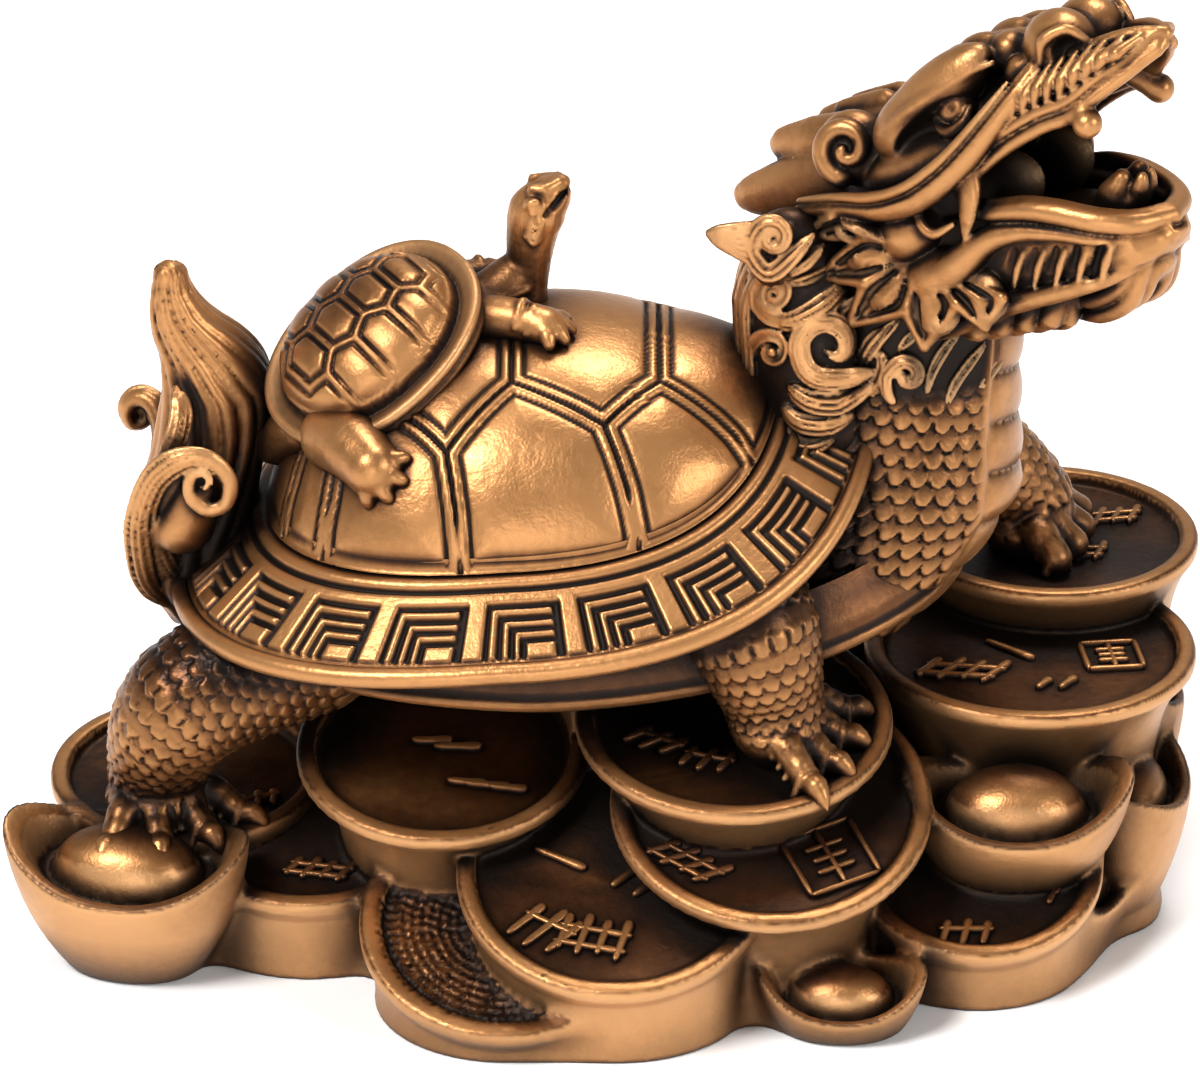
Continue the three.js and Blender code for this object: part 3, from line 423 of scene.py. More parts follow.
def thinned(mesh, budget):
    """The mesh brought down to a number of triangles"""
    triangles = sum(len(p.vertices) - 2 for p in mesh.polygons)
    if triangles <= budget:
        return mesh
    holder = bpy.data.objects.new("holder", mesh)
    bpy.context.scene.collection.objects.link(holder)
    holder.modifiers.new("thin", "DECIMATE").ratio = budget / triangles
    graph = bpy.context.evaluated_depsgraph_get()
    made = bpy.data.meshes.new_from_object(holder.evaluated_get(graph))
    bpy.data.objects.remove(holder)
    bpy.data.meshes.remove(mesh)
    return made


def points_and_normals(mesh):
    out = []
    for source, label in ((mesh.vertices, "co"), (mesh.vertex_normals, "vector")):
        values = np.empty(len(mesh.vertices) * 3, np.float32)
        source.foreach_get(label, values)
        out.append(values.reshape(-1, 3).astype(float))
    return out


def piece_of(name, clay, budget, tone_and_painted_light=None):
    """The piece that a clay makes, within a number of triangles"""
    points, faces = clay.skin()
    world = (clay.at + points @ clay.axes.T) * MM
    mesh = thinned(mesh_of(name, world, faces), budget)
    spots, normals = points_and_normals(mesh)
    local = (spots / MM - clay.at) @ clay.axes
    airy, sharp = clay.wear(local, normals @ clay.axes)
    return finish_piece(name, mesh, airy, sharp, tone_and_painted_light(spots / MM, normals) if tone_and_painted_light else None)


def blurred(values, width, closed):
    """The mean over a square of 2 * width + 1 points, taken twice"""
    out = np.asarray(values, float)
    size = int(round(width))
    span = 2 * size + 1
    for axis in (0, 1):
        mode = "wrap" if closed and axis == 1 else "edge"
        out = np.moveaxis(out, axis, 0)
        for _ in range(2):
            total = np.cumsum(np.pad(out, [(size + 1, size), (0, 0)], mode=mode), 0)
            out = (total[span:] - total[:-span]) / span
        out = np.moveaxis(out, 0, axis)
    return out


def piece_of_grid(name, grid, height, widths, closed=True, flip=False, tone_and_painted_light=None):
    """A sheet given as a grid of points, closed round in its second direction where wanted"""
    rows, columns = grid.shape[:2]
    ids = np.arange(rows * columns).reshape(rows, columns)
    if closed:
        ids = np.concatenate([ids, ids[:, :1]], 1)
    faces = np.stack([ids[:-1, :-1], ids[:-1, 1:], ids[1:, 1:], ids[1:, :-1]], -1).reshape(-1, 4)
    if flip:
        faces = faces[:, ::-1]
    smooth, broad = [blurred(height, width, closed) for width in widths]
    airy = 1 - np.clip(1.5 * (smooth - height) + 0.9 * np.maximum(broad - height, 0), 0, 0.85)
    sharp = np.clip(1.3 * (height - smooth), 0, 0.8)
    mesh = mesh_of(name, grid.reshape(-1, 3) * MM, faces)
    return finish_piece(name, mesh, airy.ravel(), sharp.ravel(), None if tone_and_painted_light is None else tone_and_painted_light.ravel())


# Bed: middle of each coin's rim, its radius, its tilt towards the front in degrees and the share of its base
RIM, RECESS, BASE_CUP = 2.2, 1.5, 1.7
coins = {
    "under_front_foot": (16.5, -19, 33.7, 19.6, 11, 0.66),
    "front_middle": (21, -26, 25.6, 19.8, 22, 0.64),
    "front_low": (1.8, -32, 19.3, 19.4, 23, 0.86),
    "front_lowest": (-11.4, -32, 12.3, 18.2, 23, 0.86),
    "rear_middle": (-19.5, -16, 27.9, 18.2, 12.4, 0.66),
    "rear_low": (-36.4, -12, 18.1, 18.4, 18.6, 0.86),
    "under_hind_foot": (-52, -5, 19, 17.5, 4, 0.86),
    "right_low": (46.7, -22, 15, 15.8, 21, 0.86),
    "chest": (54.4, 2, 33.1, 21, 0, 0.76),
    "under_far_foot": (58.1, 23.5, 38.5, 19.4, 0, 0.8),
    "far_front": (25, 23, 28, 19, -13, 0.66),
    "far_middle": (-14, 19, 28, 18.5, -12, 0.66),
    "far_low": (6, 31, 18.5, 18.5, -22, 0.86),
    "far_lowest": (-24, 30, 14, 17.5, -20, 0.86),
    "far_rear": (-39, 17, 17, 18, -12, 0.86),
    "far_right": (40, 29, 16, 17.5, -20, 0.86),
}
PEBBLED = "front_lowest"
PEBBLE = 1.15
# Ingots: middle of the rim, length, width, heading, tilt and depth
ingots = [
    (-58.5, -24, 15.5, 31, 20, -12, 8, 15.2),
    (51.5, -20.5, 22, 29, 20, 0, 6, 11),
    (29.5, -37.5, 5.5, 21, 14, -3, 12, 8),
    (67, -8, 18, 24, 15, 80, 0, 15),
    (68, 12, 22, 26, 14, 96, 0, 18),
    (59, -15, 8, 22, 15, 60, 10, 9),
    (-9, 40, 7, 22, 15, 4, -12, 9),
]
# Cores under the coins: middle, bottom and top, and reach in x and y
cores = ((-1, 1, -3, 9, 48, 26), (2, 1, 5, 24, 35, 20), (-4, 0, 20, 39, 26, 14))


def face_height(name, y):
    """Height of a coin's face at a place"""
    cy, top, nod = coins[name][1], coins[name][2], math.radians(coins[name][4])
    return top + (y - cy) * math.tan(nod) - RECESS / math.cos(nod)


def below_rim(coin, y, z):
    """Depth of a spot below the plane of a coin's rim"""
    nod = math.radians(coin[4])
    return (coin[2] + (y - coin[1]) * math.tan(nod) - z) * math.cos(nod)


def add_coin(clay, coin, pebbled):
    cx, cy, top, radius, nod, foot = coin
    nod = math.radians(nod)
    reach = radius + 4
    part, x, y, z = clay.region((cx - reach, cy - reach, -3), (cx + reach, cy + reach, top + 11))
    depth = below_rim(coin, y, z)
    middle = cy + math.sin(nod) * np.clip(depth, -2, 4)
    from_axis = np.hypot(x - cx, (y - middle) / math.cos(nod))
    inset = (1 - foot) * (1 - np.exp(-np.maximum(depth - BASE_CUP, 0) / 5.2))
    skirt = 0.55 * np.exp(-np.maximum(z, 0) / 2.2)
    wall = (from_axis - radius * (1 - inset) - skirt) * 0.93
    blend = (1.2 if foot > 0.8 else 0.8) + 3.0 * np.exp(-np.maximum(z, 0) / 5)
    clay.add(part, smax(wall, -depth, 0.9), blend)
    slope = 0.35 * np.clip(depth, 0, RECESS)
    dish = smax(from_axis - (radius - RIM) + slope, depth - RECESS, 0.5)
    if pebbled:
        row = np.floor(from_axis / PEBBLE)
        ring = 2 * math.pi * (row + 0.5)
        count = np.maximum(np.round(ring), 1)
        spot = (np.arctan2(y - cy, x - cx) / (2 * math.pi) * count + 0.37 * row) % 1 - 0.5
        out = np.hypot(spot * ring * PEBBLE / count, from_axis - (row + 0.5) * PEBBLE)
        dish = dish + 0.5 * np.sqrt(np.maximum(1 - (out / 0.56) ** 2, 0)) * (depth > -1)
    clay.add(part, dish, 0.5, carve=True)


def add_ingot(clay, ingot):
    """A boat whose rim rises at both ends, round a dome"""
    cx, cy, cz, length, width, heading, nod, depth = ingot
    reach = 0.55 * length + 3
    part, x, y, z = clay.region((cx - reach, cy - reach, -3), (cx + reach, cy + reach, cz + 0.5 * width + 3))
    a, b = math.radians(nod), math.radians(heading)
    y1 = (y - cy) * math.cos(a) + (z - cz) * math.sin(a)
    up = (z - cz) * math.cos(a) - (y - cy) * math.sin(a)
    lx = (x - cx) * math.cos(b) + y1 * math.sin(b)
    ly = y1 * math.cos(b) - (x - cx) * math.sin(b)
    share = squircle(lx, ly, length / 2, width / 2, 2.1)
    rim = 0.27 * width * np.minimum(np.abs(lx) / (length / 2), 1.15) ** 2.4
    climb = np.clip((up + depth) / (rim + depth), 0, 1.1)
    outline = 0.54 + 0.46 * (1 - np.maximum(1 - climb, 0) ** 1.7) + 0.1 * np.clip(-(up + depth) / 4, 0, 1)
    valley = -1.9 + 0.25 * rim + (rim + 1.9 - 0.25 * rim) * step_between(0.66, 0.87, share)
    dome = 0.26 * width * np.sqrt(np.maximum(1 - (share / 0.62) ** 2, 0)) * 1.25 - 1.9
    solid = smax((share - outline) * width * 0.42, (up - np.maximum(valley, dome)) * 0.7, 0.5)
    clay.add(part, solid, 0.7 + 3.5 * np.exp(-np.maximum(z, 0) / 6))


def bed_tone_and_painted_reflection(spots, normals):
    """Coin faces are darker and redder, and the outer walls get a painted reflection of the pale floor,
    strongest low down
    """
    x, y, z = spots.T
    tone = np.zeros(len(x))
    for coin in sorted(coins.values(), key=lambda c: c[2]):
        cx, cy, _, radius, nod, _ = coin
        from_axis = np.hypot(x - cx, (y - cy) / math.cos(math.radians(nod)))
        face = (np.abs(below_rim(coin, y, z) - RECESS) < 0.8) & (from_axis < radius - RIM + 0.2)
        tone = np.where(face, 0.13 + 0.14 * step_between(radius - RIM - 5, radius - RIM, from_axis), tone)
    # Painted reflection: walls that face sideways or down are paler, most near the floor
    low = 1 - step_between(2, 26, z)
    wall = (tone == 0) & (normals[:, 2] < 0.55)
    return np.where(wall, -0.16 - 0.1 * low, tone)


def make_bed():
    clay = Clay((-77, -52, -1.5), (80, 50, 46), 0.42)
    for cx, cy, low, high, rx, ry in cores:
        part, x, y, z = clay.region((cx - rx - 3, cy - ry - 3, low - 3), (cx + rx + 3, cy + ry + 3, high + 3))
        side = (squircle(x - cx, y - cy, rx, ry, 2.6) - 1) * ry
        clay.add(part, smax(side, np.abs(z - (low + high) / 2) - (high - low) / 2, 2.0), 2.0)
    for name, coin in sorted(coins.items(), key=lambda item: item[1][2]):
        add_coin(clay, coin, name == PEBBLED)
    for ingot in ingots:
        add_ingot(clay, ingot)
    ground = clay.low[2] + clay.step * np.arange(clay.size[2])
    clay.field = smax(clay.field, -ground.astype(np.float32), 0.6)
    return piece_of("bed_of_coins", clay, 120000, bed_tone_and_painted_reflection)


# Rows of strokes on the coins: middle and heading of each row in the face, count, pitch, length and lean
stroke_rows = {
    "under_front_foot": [(-9.7, -3.8, -28, 3, 2.5, 5.2, 62), (-3.4, -7.6, -16, 3, 2.4, 4.8, 72)],
    "front_middle": [(-10.3, -8.8, -34, 4, 2.4, 5.6, 58)],
    "front_low": [(-8.5, -8.5, -30, 3, 2.7, 7.6, 74), (-2.6, -9.6, -12, 4, 2.4, 6.4, 84),
                  (-6.7, 2.3, -34, 1, 1, 8.5, 8), (3.1, -0.8, -20, 2, 3.2, 6.4, 62)],
    "rear_middle": [(0.2, 1.4, -20, 2, 3.4, 6.0, 20), (5.6, -6.5, -12, 3, 2.6, 5.8, 5)],
    "rear_low": [(1.6, -11.0, -8, 4, 2.2, 4.2, 60)],
    "right_low": [(-1.8, -11.0, 0, 3, 2.5, 4.6, 75), (10.2, -3.2, 60, 3, 2.1, 3.6, 10)],
    "chest": [(-8.9, -5.9, -8, 4, 2.8, 6.6, 62), (-2.5, -0.4, -20, 1, 1.0, 9.0, -20),
              (2.6, -9.6, 4, 2, 3.0, 3.6, 50)],
    "under_far_foot": [(8.2, 5.7, 10, 4, 2.3, 5.2, 60), (2.8, -4.5, 0, 4, 2.3, 5.2, 70)],
    "under_hind_foot": [(9.0, -6.6, 20, 3, 2.1, 4.0, 70)],
    "far_front": [(0, 9, 10, 4, 2.3, 4.4, 70)],
    "far_middle": [(0, 9, -6, 4, 2.3, 4.4, 70)],
    "far_low": [(2, 8, 8, 4, 2.3, 4.6, 66), (-6, 3, 8, 3, 2.3, 4.6, 66)],
    "far_lowest": [(-2, 8, -8, 4, 2.3, 4.6, 70)],
    "far_rear": [(-4, 10, 14, 4, 2.2, 4.2, 70)],
    "far_right": [(2, 8, 0, 4, 2.3, 4.6, 66), (8, 2, 10, 2, 2.3, 4.6, 66)],
}
# Plain square panels: coin, middle, half side and heading; and their bars in shares of the half side
panels = [("front_middle", 7.0, -8.2, 4.6, 24), ("chest", 10.2, -2.0, 3.5, 6)]
panel_bars = (((-1, -1), (1, -1)), ((1, -1), (1, 1)), ((1, 1), (-1, 1)), ((-1, 1), (-1, -1)),
              ((-0.55, 0.4), (0.55, 0.4)), ((-0.55, -0.4), (0.55, -0.4)), ((0, -0.95), (0, 0.95)),
              ((-0.5, 0), (0.5, 0)))
# A bar's rounded section (across, up) with the wear of its points, and its swelling along its length
bar_section = [(-1, -1.0), (-1, 0.35), (-0.8, 0.82), (-0.45, 1.0), (0, 1.04), (0.45, 1.0), (0.8, 0.82),
               (1, 0.35), (1, -1.0)]
bar_wear = [0, 0.4, 0.85, 1, 1, 1, 0.85, 0.4, 0]
bar_swell = ((0, 0.45), (0.06, 0.85), (0.2, 1.0), (0.5, 0.86), (0.8, 1.0), (0.94, 0.85), (1, 0.45))
BAR_HIGH = 0.75


def make_strokes():
    points, faces = [], []
    ring = len(bar_section)

    def bar(name, start, end, wide_start, wide_end):
        cx, cy, top = coins[name][:3]
        nod = math.radians(coins[name][4])
        way = unit(end - start)
        side = np.array([-way[1], way[0]])
        first = len(points)
        for t, swell in bar_swell:
            half = 0.5 * (wide_start + (wide_end - wide_start) * t) * swell
            for across, up in bar_section:
                flat = start + (end - start) * t + side * across * half
                lift = BAR_HIGH * up * (0.75 + 0.25 * swell) - RECESS
                points.append((cx + flat[0], cy + flat[1] * math.cos(nod) - lift * math.sin(nod),
                               top + flat[1] * math.sin(nod) + lift * math.cos(nod)))
        last = first + (len(bar_swell) - 1) * ring
        for a in range(first, last, ring):
            for j in range(ring):
                k = (j + 1) % ring
                faces.append((a + j, a + k, a + ring + k, a + ring + j))
        for j in range(1, ring - 1):
            faces.append((first, first + j + 1, first + j))
            faces.append((last, last + j, last + j + 1))

    for name, rows in stroke_rows.items():
        for mx, my, heading, count, pitch, length, lean in rows:
            run, tip, middle = ray(heading), ray(heading + lean), np.array([mx, my])
            for k in range(count):
                spot = middle + run * pitch * (k - (count - 1) / 2)
                size = length * (0.5 if k % 2 else 0.42)
                bar(name, spot - tip * size, spot + tip * size, 1.0, 1.6)
            half = pitch * (count - 1) / 2 + 0.9
            for share in (0.14, -0.26)[: max(count - 2, 0)]:
                base = middle + tip * length * share
                bar(name, base - run * half, base + run * half, 0.9, 1.2)
    for name, mx, my, half, heading in panels:
        u = ray(heading)
        v = np.array([-u[1], u[0]])
        middle = np.array([mx, my])
        for a, b in panel_bars:
            start, end = [middle + half * (p[0] * u + p[1] * v) for p in (a, b)]
            bar(name, start, end, 0.95, 0.95)
    mesh = bpy.data.meshes.new("coin_strokes")
    mesh.from_pydata([tuple(c * MM for c in p) for p in points], [], faces)
    mesh.validate()
    wear = np.tile(bar_wear, len(points) // ring)
    return finish_piece("coin_strokes", mesh, 0.45 + 0.5 * wear, 0.3 * wear)


# Shell: plan is a squarish oval, and the rim rises into a collar at the front
SHELL_X, FRONT, REAR, HALF, SQUARE = -10, 44.8, 43.6, 38, 2.5
DOME_TOP, DOME_SHARE, LIP_SHARE = 79.4, 0.71, 0.955
RING_RISE = 0.31


def share_and_angle(x, y):
    """How far out a spot of the plan is, and the angle that goes with it"""
    reach = np.where(x > SHELL_X, FRONT, REAR)
    across = np.abs(x - SHELL_X) / reach
    beside = np.abs(y) / HALF
    share = (across**SQUARE + beside**SQUARE) ** (1 / SQUARE)
    safe = np.maximum(share, TINY)
    power = SQUARE / 2
    angle = np.arctan2(np.sign(y) * (beside / safe) ** power, np.sign(x - SHELL_X) * (across / safe) ** power)
    return share, angle


def rim_level(angle):
    from_front = np.abs(np.degrees(np.arctan2(np.sin(angle), np.cos(angle))))
    return 46.2 + 2.2 * np.cos(angle) + 20.5 * np.exp(-((from_front / 44.6) ** 1.45))


def shell_rise(share):
    inner = RING_RISE + 0.69 * (1 - np.clip(share / DOME_SHARE, 0, 1) ** 2.2) ** 0.68
    down = (share - DOME_SHARE) / (LIP_SHARE - DOME_SHARE)
    return np.where(share < DOME_SHARE, inner, RING_RISE - 0.26 * down)


def shell_height(x, y):
    share, angle = share_and_angle(x, y)
    level = rim_level(angle)
    return level + (DOME_TOP - level) * shell_rise(share)


def plan_reach(direction):
    """Distance from the shell's middle to the rim in a direction of the plan"""
    c, s = np.cos(direction), np.sin(direction)
    reach = np.where(c > 0, FRONT, REAR)
    return ((np.abs(c) / reach) ** SQUARE + (np.abs(s) / HALF) ** SQUARE) ** (-1 / SQUARE)


def on_shell(share, direction):
    """The spots of the shell a share of the way out in a direction of the plan"""
    reach = share * plan_reach(direction)
    x, y = SHELL_X + reach * np.cos(direction), reach * np.sin(direction)
    return np.stack([x, y, shell_height(x, y)], -1)


def ring_point(x, side):
    """The spot of the dome's foot at a place along the shell"""
    reach = FRONT if x > SHELL_X else REAR
    across = abs(x - SHELL_X) / (reach * DOME_SHARE)
    return (x, side * DOME_SHARE * HALF * max(0, 1 - across**SQUARE) ** (1 / SQUARE))


def plate_borders():
    """Ends of the lines between the plates of the back, in plan"""
    lines = []
    spine = ((7.2, 11.5), (-10.7, 13.5), (-27, 12), (-35, 6.5))
    for side in (-1, 1):
        crown_front, crown_rear, saddle_rear, rump_rear = [(x, side * y) for x, y in spine]
        crown_wide, saddle_wide, rump_wide = (0.5, side * 18), (-18.5, side * 20), (-31, side * 13)
        front, shoulder, flank, hip, rump = [ring_point(x, side) for x in (18.4, 4.7, -16.7, -33.5, -38.6)]
        lines += [(front, crown_front), (crown_front, crown_wide), (crown_wide, shoulder),
                  (crown_wide, crown_rear), (crown_rear, saddle_wide), (saddle_wide, flank),
                  (saddle_wide, saddle_rear), (saddle_rear, rump_wide), (rump_wide, hip),
                  (rump_wide, rump_rear), (rump_rear, rump)]
    return lines + [((x, y), (x, -y)) for x, y in spine]


def border_distance(grid):
    """Distance on the dome from each point to the nearest border line"""
    near = np.full(grid.shape[:2], 50.0)
    for start, end in plate_borders():
        start, end = np.array(start), np.array(end)
        parts = max(3, int(np.linalg.norm(end - start) / 2.2))
        plan = start + (end - start) * np.linspace(0, 1, parts + 1)[:, None]
        line = np.column_stack([plan, shell_height(plan[:, 0], plan[:, 1])])
        for a, b in zip(line[:-1], line[1:]):
            way = b - a
            p = grid - a
            along = np.clip((p @ way) / (way @ way), 0, 1)
            near = np.minimum(near, np.linalg.norm(p - along[..., None] * way, axis=-1))
    return near


def raised(grid, height, closed):
    """The grid moved up off itself by a height"""
    across = np.roll(grid, -1, 1) - np.roll(grid, 1, 1) if closed else np.gradient(grid, axis=1)
    n = np.cross(across, np.gradient(grid, axis=0))
    n = n / np.maximum(np.linalg.norm(n, axis=-1, keepdims=True), 1e-9)
    n *= np.sign(n[..., 2:3] + 1e-9)
    return grid + n * height[..., None]


def ridge(value, middle, width, power=2):
    """A bump of height 1 round a middle value"""
    return np.exp(-(np.abs((value - middle) / width) ** power))


def make_plates():
    """A square grid bent into a round one, so that no point is crowded"""
    half = 108
    marks = np.linspace(-1, 1, 2 * half + 1)
    a, b = np.meshgrid(marks, marks, indexing="ij")
    wide = np.abs(a) >= np.abs(b)
    out = np.maximum(np.abs(a), np.abs(b))
    ratio = np.where(wide, b / np.where(a == 0, 1, a), a / np.where(b == 0, 1, b))
    direction = np.where(wide, ratio * math.pi / 4, math.pi / 2 - ratio * math.pi / 4)
    direction = direction + np.where(wide & (a < 0), math.pi, 0) + np.where(~wide & (b < 0), math.pi, 0)
    base = on_shell(0.718 * (1 - (1 - out) ** 1.22), direction)
    from_ring = np.linalg.norm(base - on_shell(DOME_SHARE, direction), axis=-1)
    d = np.minimum(border_distance(base), from_ring + 0.45)
    height = -0.55 * ridge(d, 0, 0.2, 4)
    height += 0.22 * step_between(0.2, 0.36, d) * (1 - step_between(0.95, 1.08, d))
    height += 0.16 * ridge(d, 1.22, 0.13) - 0.3 * ridge(d, 1.55, 0.2)
    height += 0.5 * (1 - np.exp(-np.maximum(d - 1.6, 0) / 2.6)) * step_between(1.5, 1.8, d)
    return piece_of_grid("carapace_plates", raised(base, height, False), height, (1.6, 5), closed=False)


def plateau(value, low, high, soft=0.035):
    """1 between two values and 0 outside them, with soft steps"""
    up, down = [step_between(edge - soft / 2, edge + soft / 2, value) for edge in (low, high)]
    return up * (1 - down)


# Band: cells round the shell, the shares where it starts and ends, and its rolled lip
CELLS, BAND_IN, BAND_OUT = 20, 0.768, 0.938
LIP_MIDDLE, LIP_RADIUS, LIP_RISE = 0.967, 1.3, 0.95


def make_band():
    columns = 800
    direction = np.linspace(0, 2 * math.pi, columns, endpoint=False)
    out_x, out_y = np.cos(direction), np.sin(direction)
    rim = plan_reach(direction)
    middle = 0.853 * rim
    mx, my = SHELL_X + middle * out_x, middle * out_y
    step = np.hypot(np.roll(mx, -1) - mx, np.roll(my, -1) - my)
    reached = np.concatenate([[0], np.cumsum(step)[:-1]])
    near_side = direction > math.pi
    bar = np.interp(0, (mx - (-16))[near_side], reached[near_side])
    share = np.linspace(0.703, 0.957, 42)[:, None] + 0 * direction[None, :]
    t = (share - BAND_IN) / (BAND_OUT - BAND_IN)
    s = np.broadcast_to(((reached - bar) / step.sum() * CELLS) % 1, share.shape)
    # Angled key pattern, in each cell between bars
    m = np.minimum((s - 0.2) / 0.42, (t - 0.17) / 0.59)
    key = plateau(m, 0.12, 0.30, 0.06) + plateau(m, 0.44, 0.60, 0.06) + plateau(m, 0.72, 0.86, 0.06)
    key = (key + step_between(0.98, 1.02, m)) * (1 - step_between(0.895, 0.925, s))
    bars = np.maximum(1 - step_between(0.185, 0.21, s), step_between(0.985, 0.999, s))
    pattern = np.maximum(key, np.maximum(bars, 1 - step_between(0.15, 0.19, t)))
    height = step_between(0.0, 0.02, t) * (1 - step_between(0.98, 1.0, t)) * (0.8 * pattern - 0.42)
    height += 0.62 * ridge(share, 0.742, 0.0155, 3.2)
    height -= 0.35 * ridge(share, 0.716, 0.0055) + 0.3 * ridge(share, 0.7625, 0.004)
    height += 0.12 * step_between(BAND_OUT, BAND_OUT + 0.003, share)
    rows = list(raised(on_shell(share, direction), height, True))
    relief = list(height - 0.3 * ridge(share, 0.957, 0.004))
    level = rim_level(share_and_angle(SHELL_X + out_x * rim, out_y * rim)[1])

    def ring(reach, lift, tone):
        rows.append(np.stack([SHELL_X + reach * out_x, reach * out_y, level + lift], -1))
        relief.append(np.full(columns, tone))

    for angle in np.radians(np.linspace(118, -108, 15)):
        lip_x, lip_z = LIP_RADIUS * math.cos(angle), LIP_RADIUS * math.sin(angle)
        ring(LIP_MIDDLE * rim + lip_x, LIP_RISE + lip_z, -0.05 + 0.5 * math.cos(angle * 0.8))
    # Painted shade: the rings under the lip get a low relief, which darkens them
    for under, lift in ((0.955, -0.35), (0.93, -0.5), (0.85, -0.8), (0.72, -1.2), (0.58, -1.6)):
        ring(under * rim, lift, -0.6)
    return piece_of_grid("carapace_band", np.array(rows), np.array(relief), (1.6, 5))


def bent(value, power):
    """A cosine or sine made into the matching one of a squarish oval"""
    return np.sign(value) * np.abs(value) ** (2 / power)


# Plastron: share of its reach, height over its bottom and how raised or hollow each ring is
BELLY_X, BELLY_LONG, BELLY_HALF, BELLY_BOTTOM = -0.65, 45.35, 27, 37
belly_rings = [
    (0.02, 0.0, 0), (0.3, 0.0, 0), (0.6, 0.0, 0), (0.8, 0.05, 0), (0.9, 0.2, 0), (0.935, 0.3, 0),
    (0.945, 0.05, -0.5), (0.955, 0.35, 0), (0.975, 0.55, 0.3), (0.99, 0.95, 0.5), (1.0, 1.6, 0.5),
    (0.995, 2.1, 0.2), (0.985, 2.4, -0.3), (0.985, 3.4, -0.3), (0.97, 5, -0.4), (0.93, 7, -0.5),
    (0.9, 9.5, -0.5),
]


def make_belly():
    columns = 260
    angle = np.linspace(0, 2 * math.pi, columns, endpoint=False)
    rows, relief, tone_and_painted_light = [], [], []
    for share, lift, tone in belly_rings:
        x = BELLY_X + share * BELLY_LONG * bent(np.cos(angle), 2.3)
        y = share * BELLY_HALF * bent(np.sin(angle), 2.3)
        forward = np.maximum(0, (x + 10) / 54.7)
        rows.append(np.stack([x, y, BELLY_BOTTOM + lift + 9.3 * forward**1.6], -1))
        relief.append(np.full(columns, float(tone)))
        # Painted shade: the rings up under the shell's rim are darkest, and the underside is darker too
        tone_and_painted_light.append(np.full(columns, 0.26 if lift > 1 else 0.0 if lift > 0.2 else 0.14))
    rows, relief, tone_and_painted_light = np.array(rows), np.array(relief), np.array(tone_and_painted_light)
    return piece_of_grid("plastron", rows, relief, (1, 2), flip=True, tone_and_painted_light=tone_and_painted_light)


def scale_height(a, v, width, row, high):
    """Overlapping scales: height at arc position a and position v, with their free edges towards lower v"""
    best = np.zeros_like(a)
    first = np.floor(v / row)
    for offset in (-1, 0, 1, 2):
        line = first + offset
        shift = 0.5 * (line % 2)
        column = np.round(a / width - shift)
        across = (a - (column + shift) * width) / (0.56 * width)
        down = (v - (line + 0.5) * row) / (0.86 * row)
        rho = across**2 + down**2
        t = np.clip(0.6 - down, 0, 1.4) / 1.4
        rise = high * (0.2 + 0.8 * t) * (1 - 0.9 * step_between(0.66, 1.0, rho))
        best = np.where(rho < 1, rise, best)
    return best


def along_route(points, x, y, z, reference):
    """Distance from a route, place along it and angle round it, for many points"""
    best = np.full(x.shape, 1e9)
    place, turn = np.zeros_like(x), np.zeros_like(x)
    done = 0.0
    for a, b in zip(points[:-1], points[1:]):
        way = b - a
        size = np.linalg.norm(way)
        axis = way / size
        u = unit(np.asarray(reference, float) - np.dot(reference, axis) * axis)
        v = np.cross(axis, u)
        px, py, pz = x - a[0], y - a[1], z - a[2]
        t = np.clip(px * axis[0] + py * axis[1] + pz * axis[2], 0, size)
        cx, cy, cz = px - t * axis[0], py - t * axis[1], pz - t * axis[2]
        d = np.sqrt(cx**2 + cy**2 + cz**2)
        closer = d < best
        best = np.where(closer, d, best)
        place = np.where(closer, done + t, place)
        angle = np.arctan2(cx * v[0] + cy * v[1] + cz * v[2], cx * u[0] + cy * u[1] + cz * u[2])
        turn = np.where(closer, angle, turn)
        done += size
    return best, place, turn


def add_column(clay, stations):
    """Ellipses one over the other: stations of height, middle x, reach in x and reach in y"""
    s = np.array(stations, float)
    side, bottom, top = s[:, 3].max() + 3, s[0, 0], s[-1, 0]
    part, x, y, z = clay.region(((s[:, 1] - s[:, 2]).min() - 3, -side, bottom - 3),
                                ((s[:, 1] + s[:, 2]).max() + 3, side, top + 3))
    wide = max(1, int(3.0 / clay.step))
    kernel = np.ones(wide) / wide
    smooth = [np.convolve(np.pad(v, wide, mode="edge"), kernel, "same")[wide:-wide]
              for v in at_level(stations, z[0, 0])]
    cx, rx, ry = [v[None, None, :].astype(np.float32) for v in smooth]
    k0 = np.sqrt(((x - cx) / rx) ** 2 + (y / ry) ** 2)
    k1 = np.sqrt(((x - cx) / rx**2) ** 2 + (y / ry**2) ** 2) + TINY
    ends = np.maximum(bottom - z, z - top)
    clay.add(part, smax(off_ellipsoid(k0, k1, np.minimum(rx, ry)), ends, 1.0), 0.6)


# Neck: stations of its column, and how high its scales are
NECK = [(41, 27, 14.5, 14), (49, 32.5, 15, 15.5), (57, 36.4, 15.8, 15), (69, 38.2, 13.4, 13),
        (89, 39.5, 12, 12)]
NECK_SCALE_RISE = 1.05
THROAT_EDGE = 0.86  # angle from the front where the throat's plates end


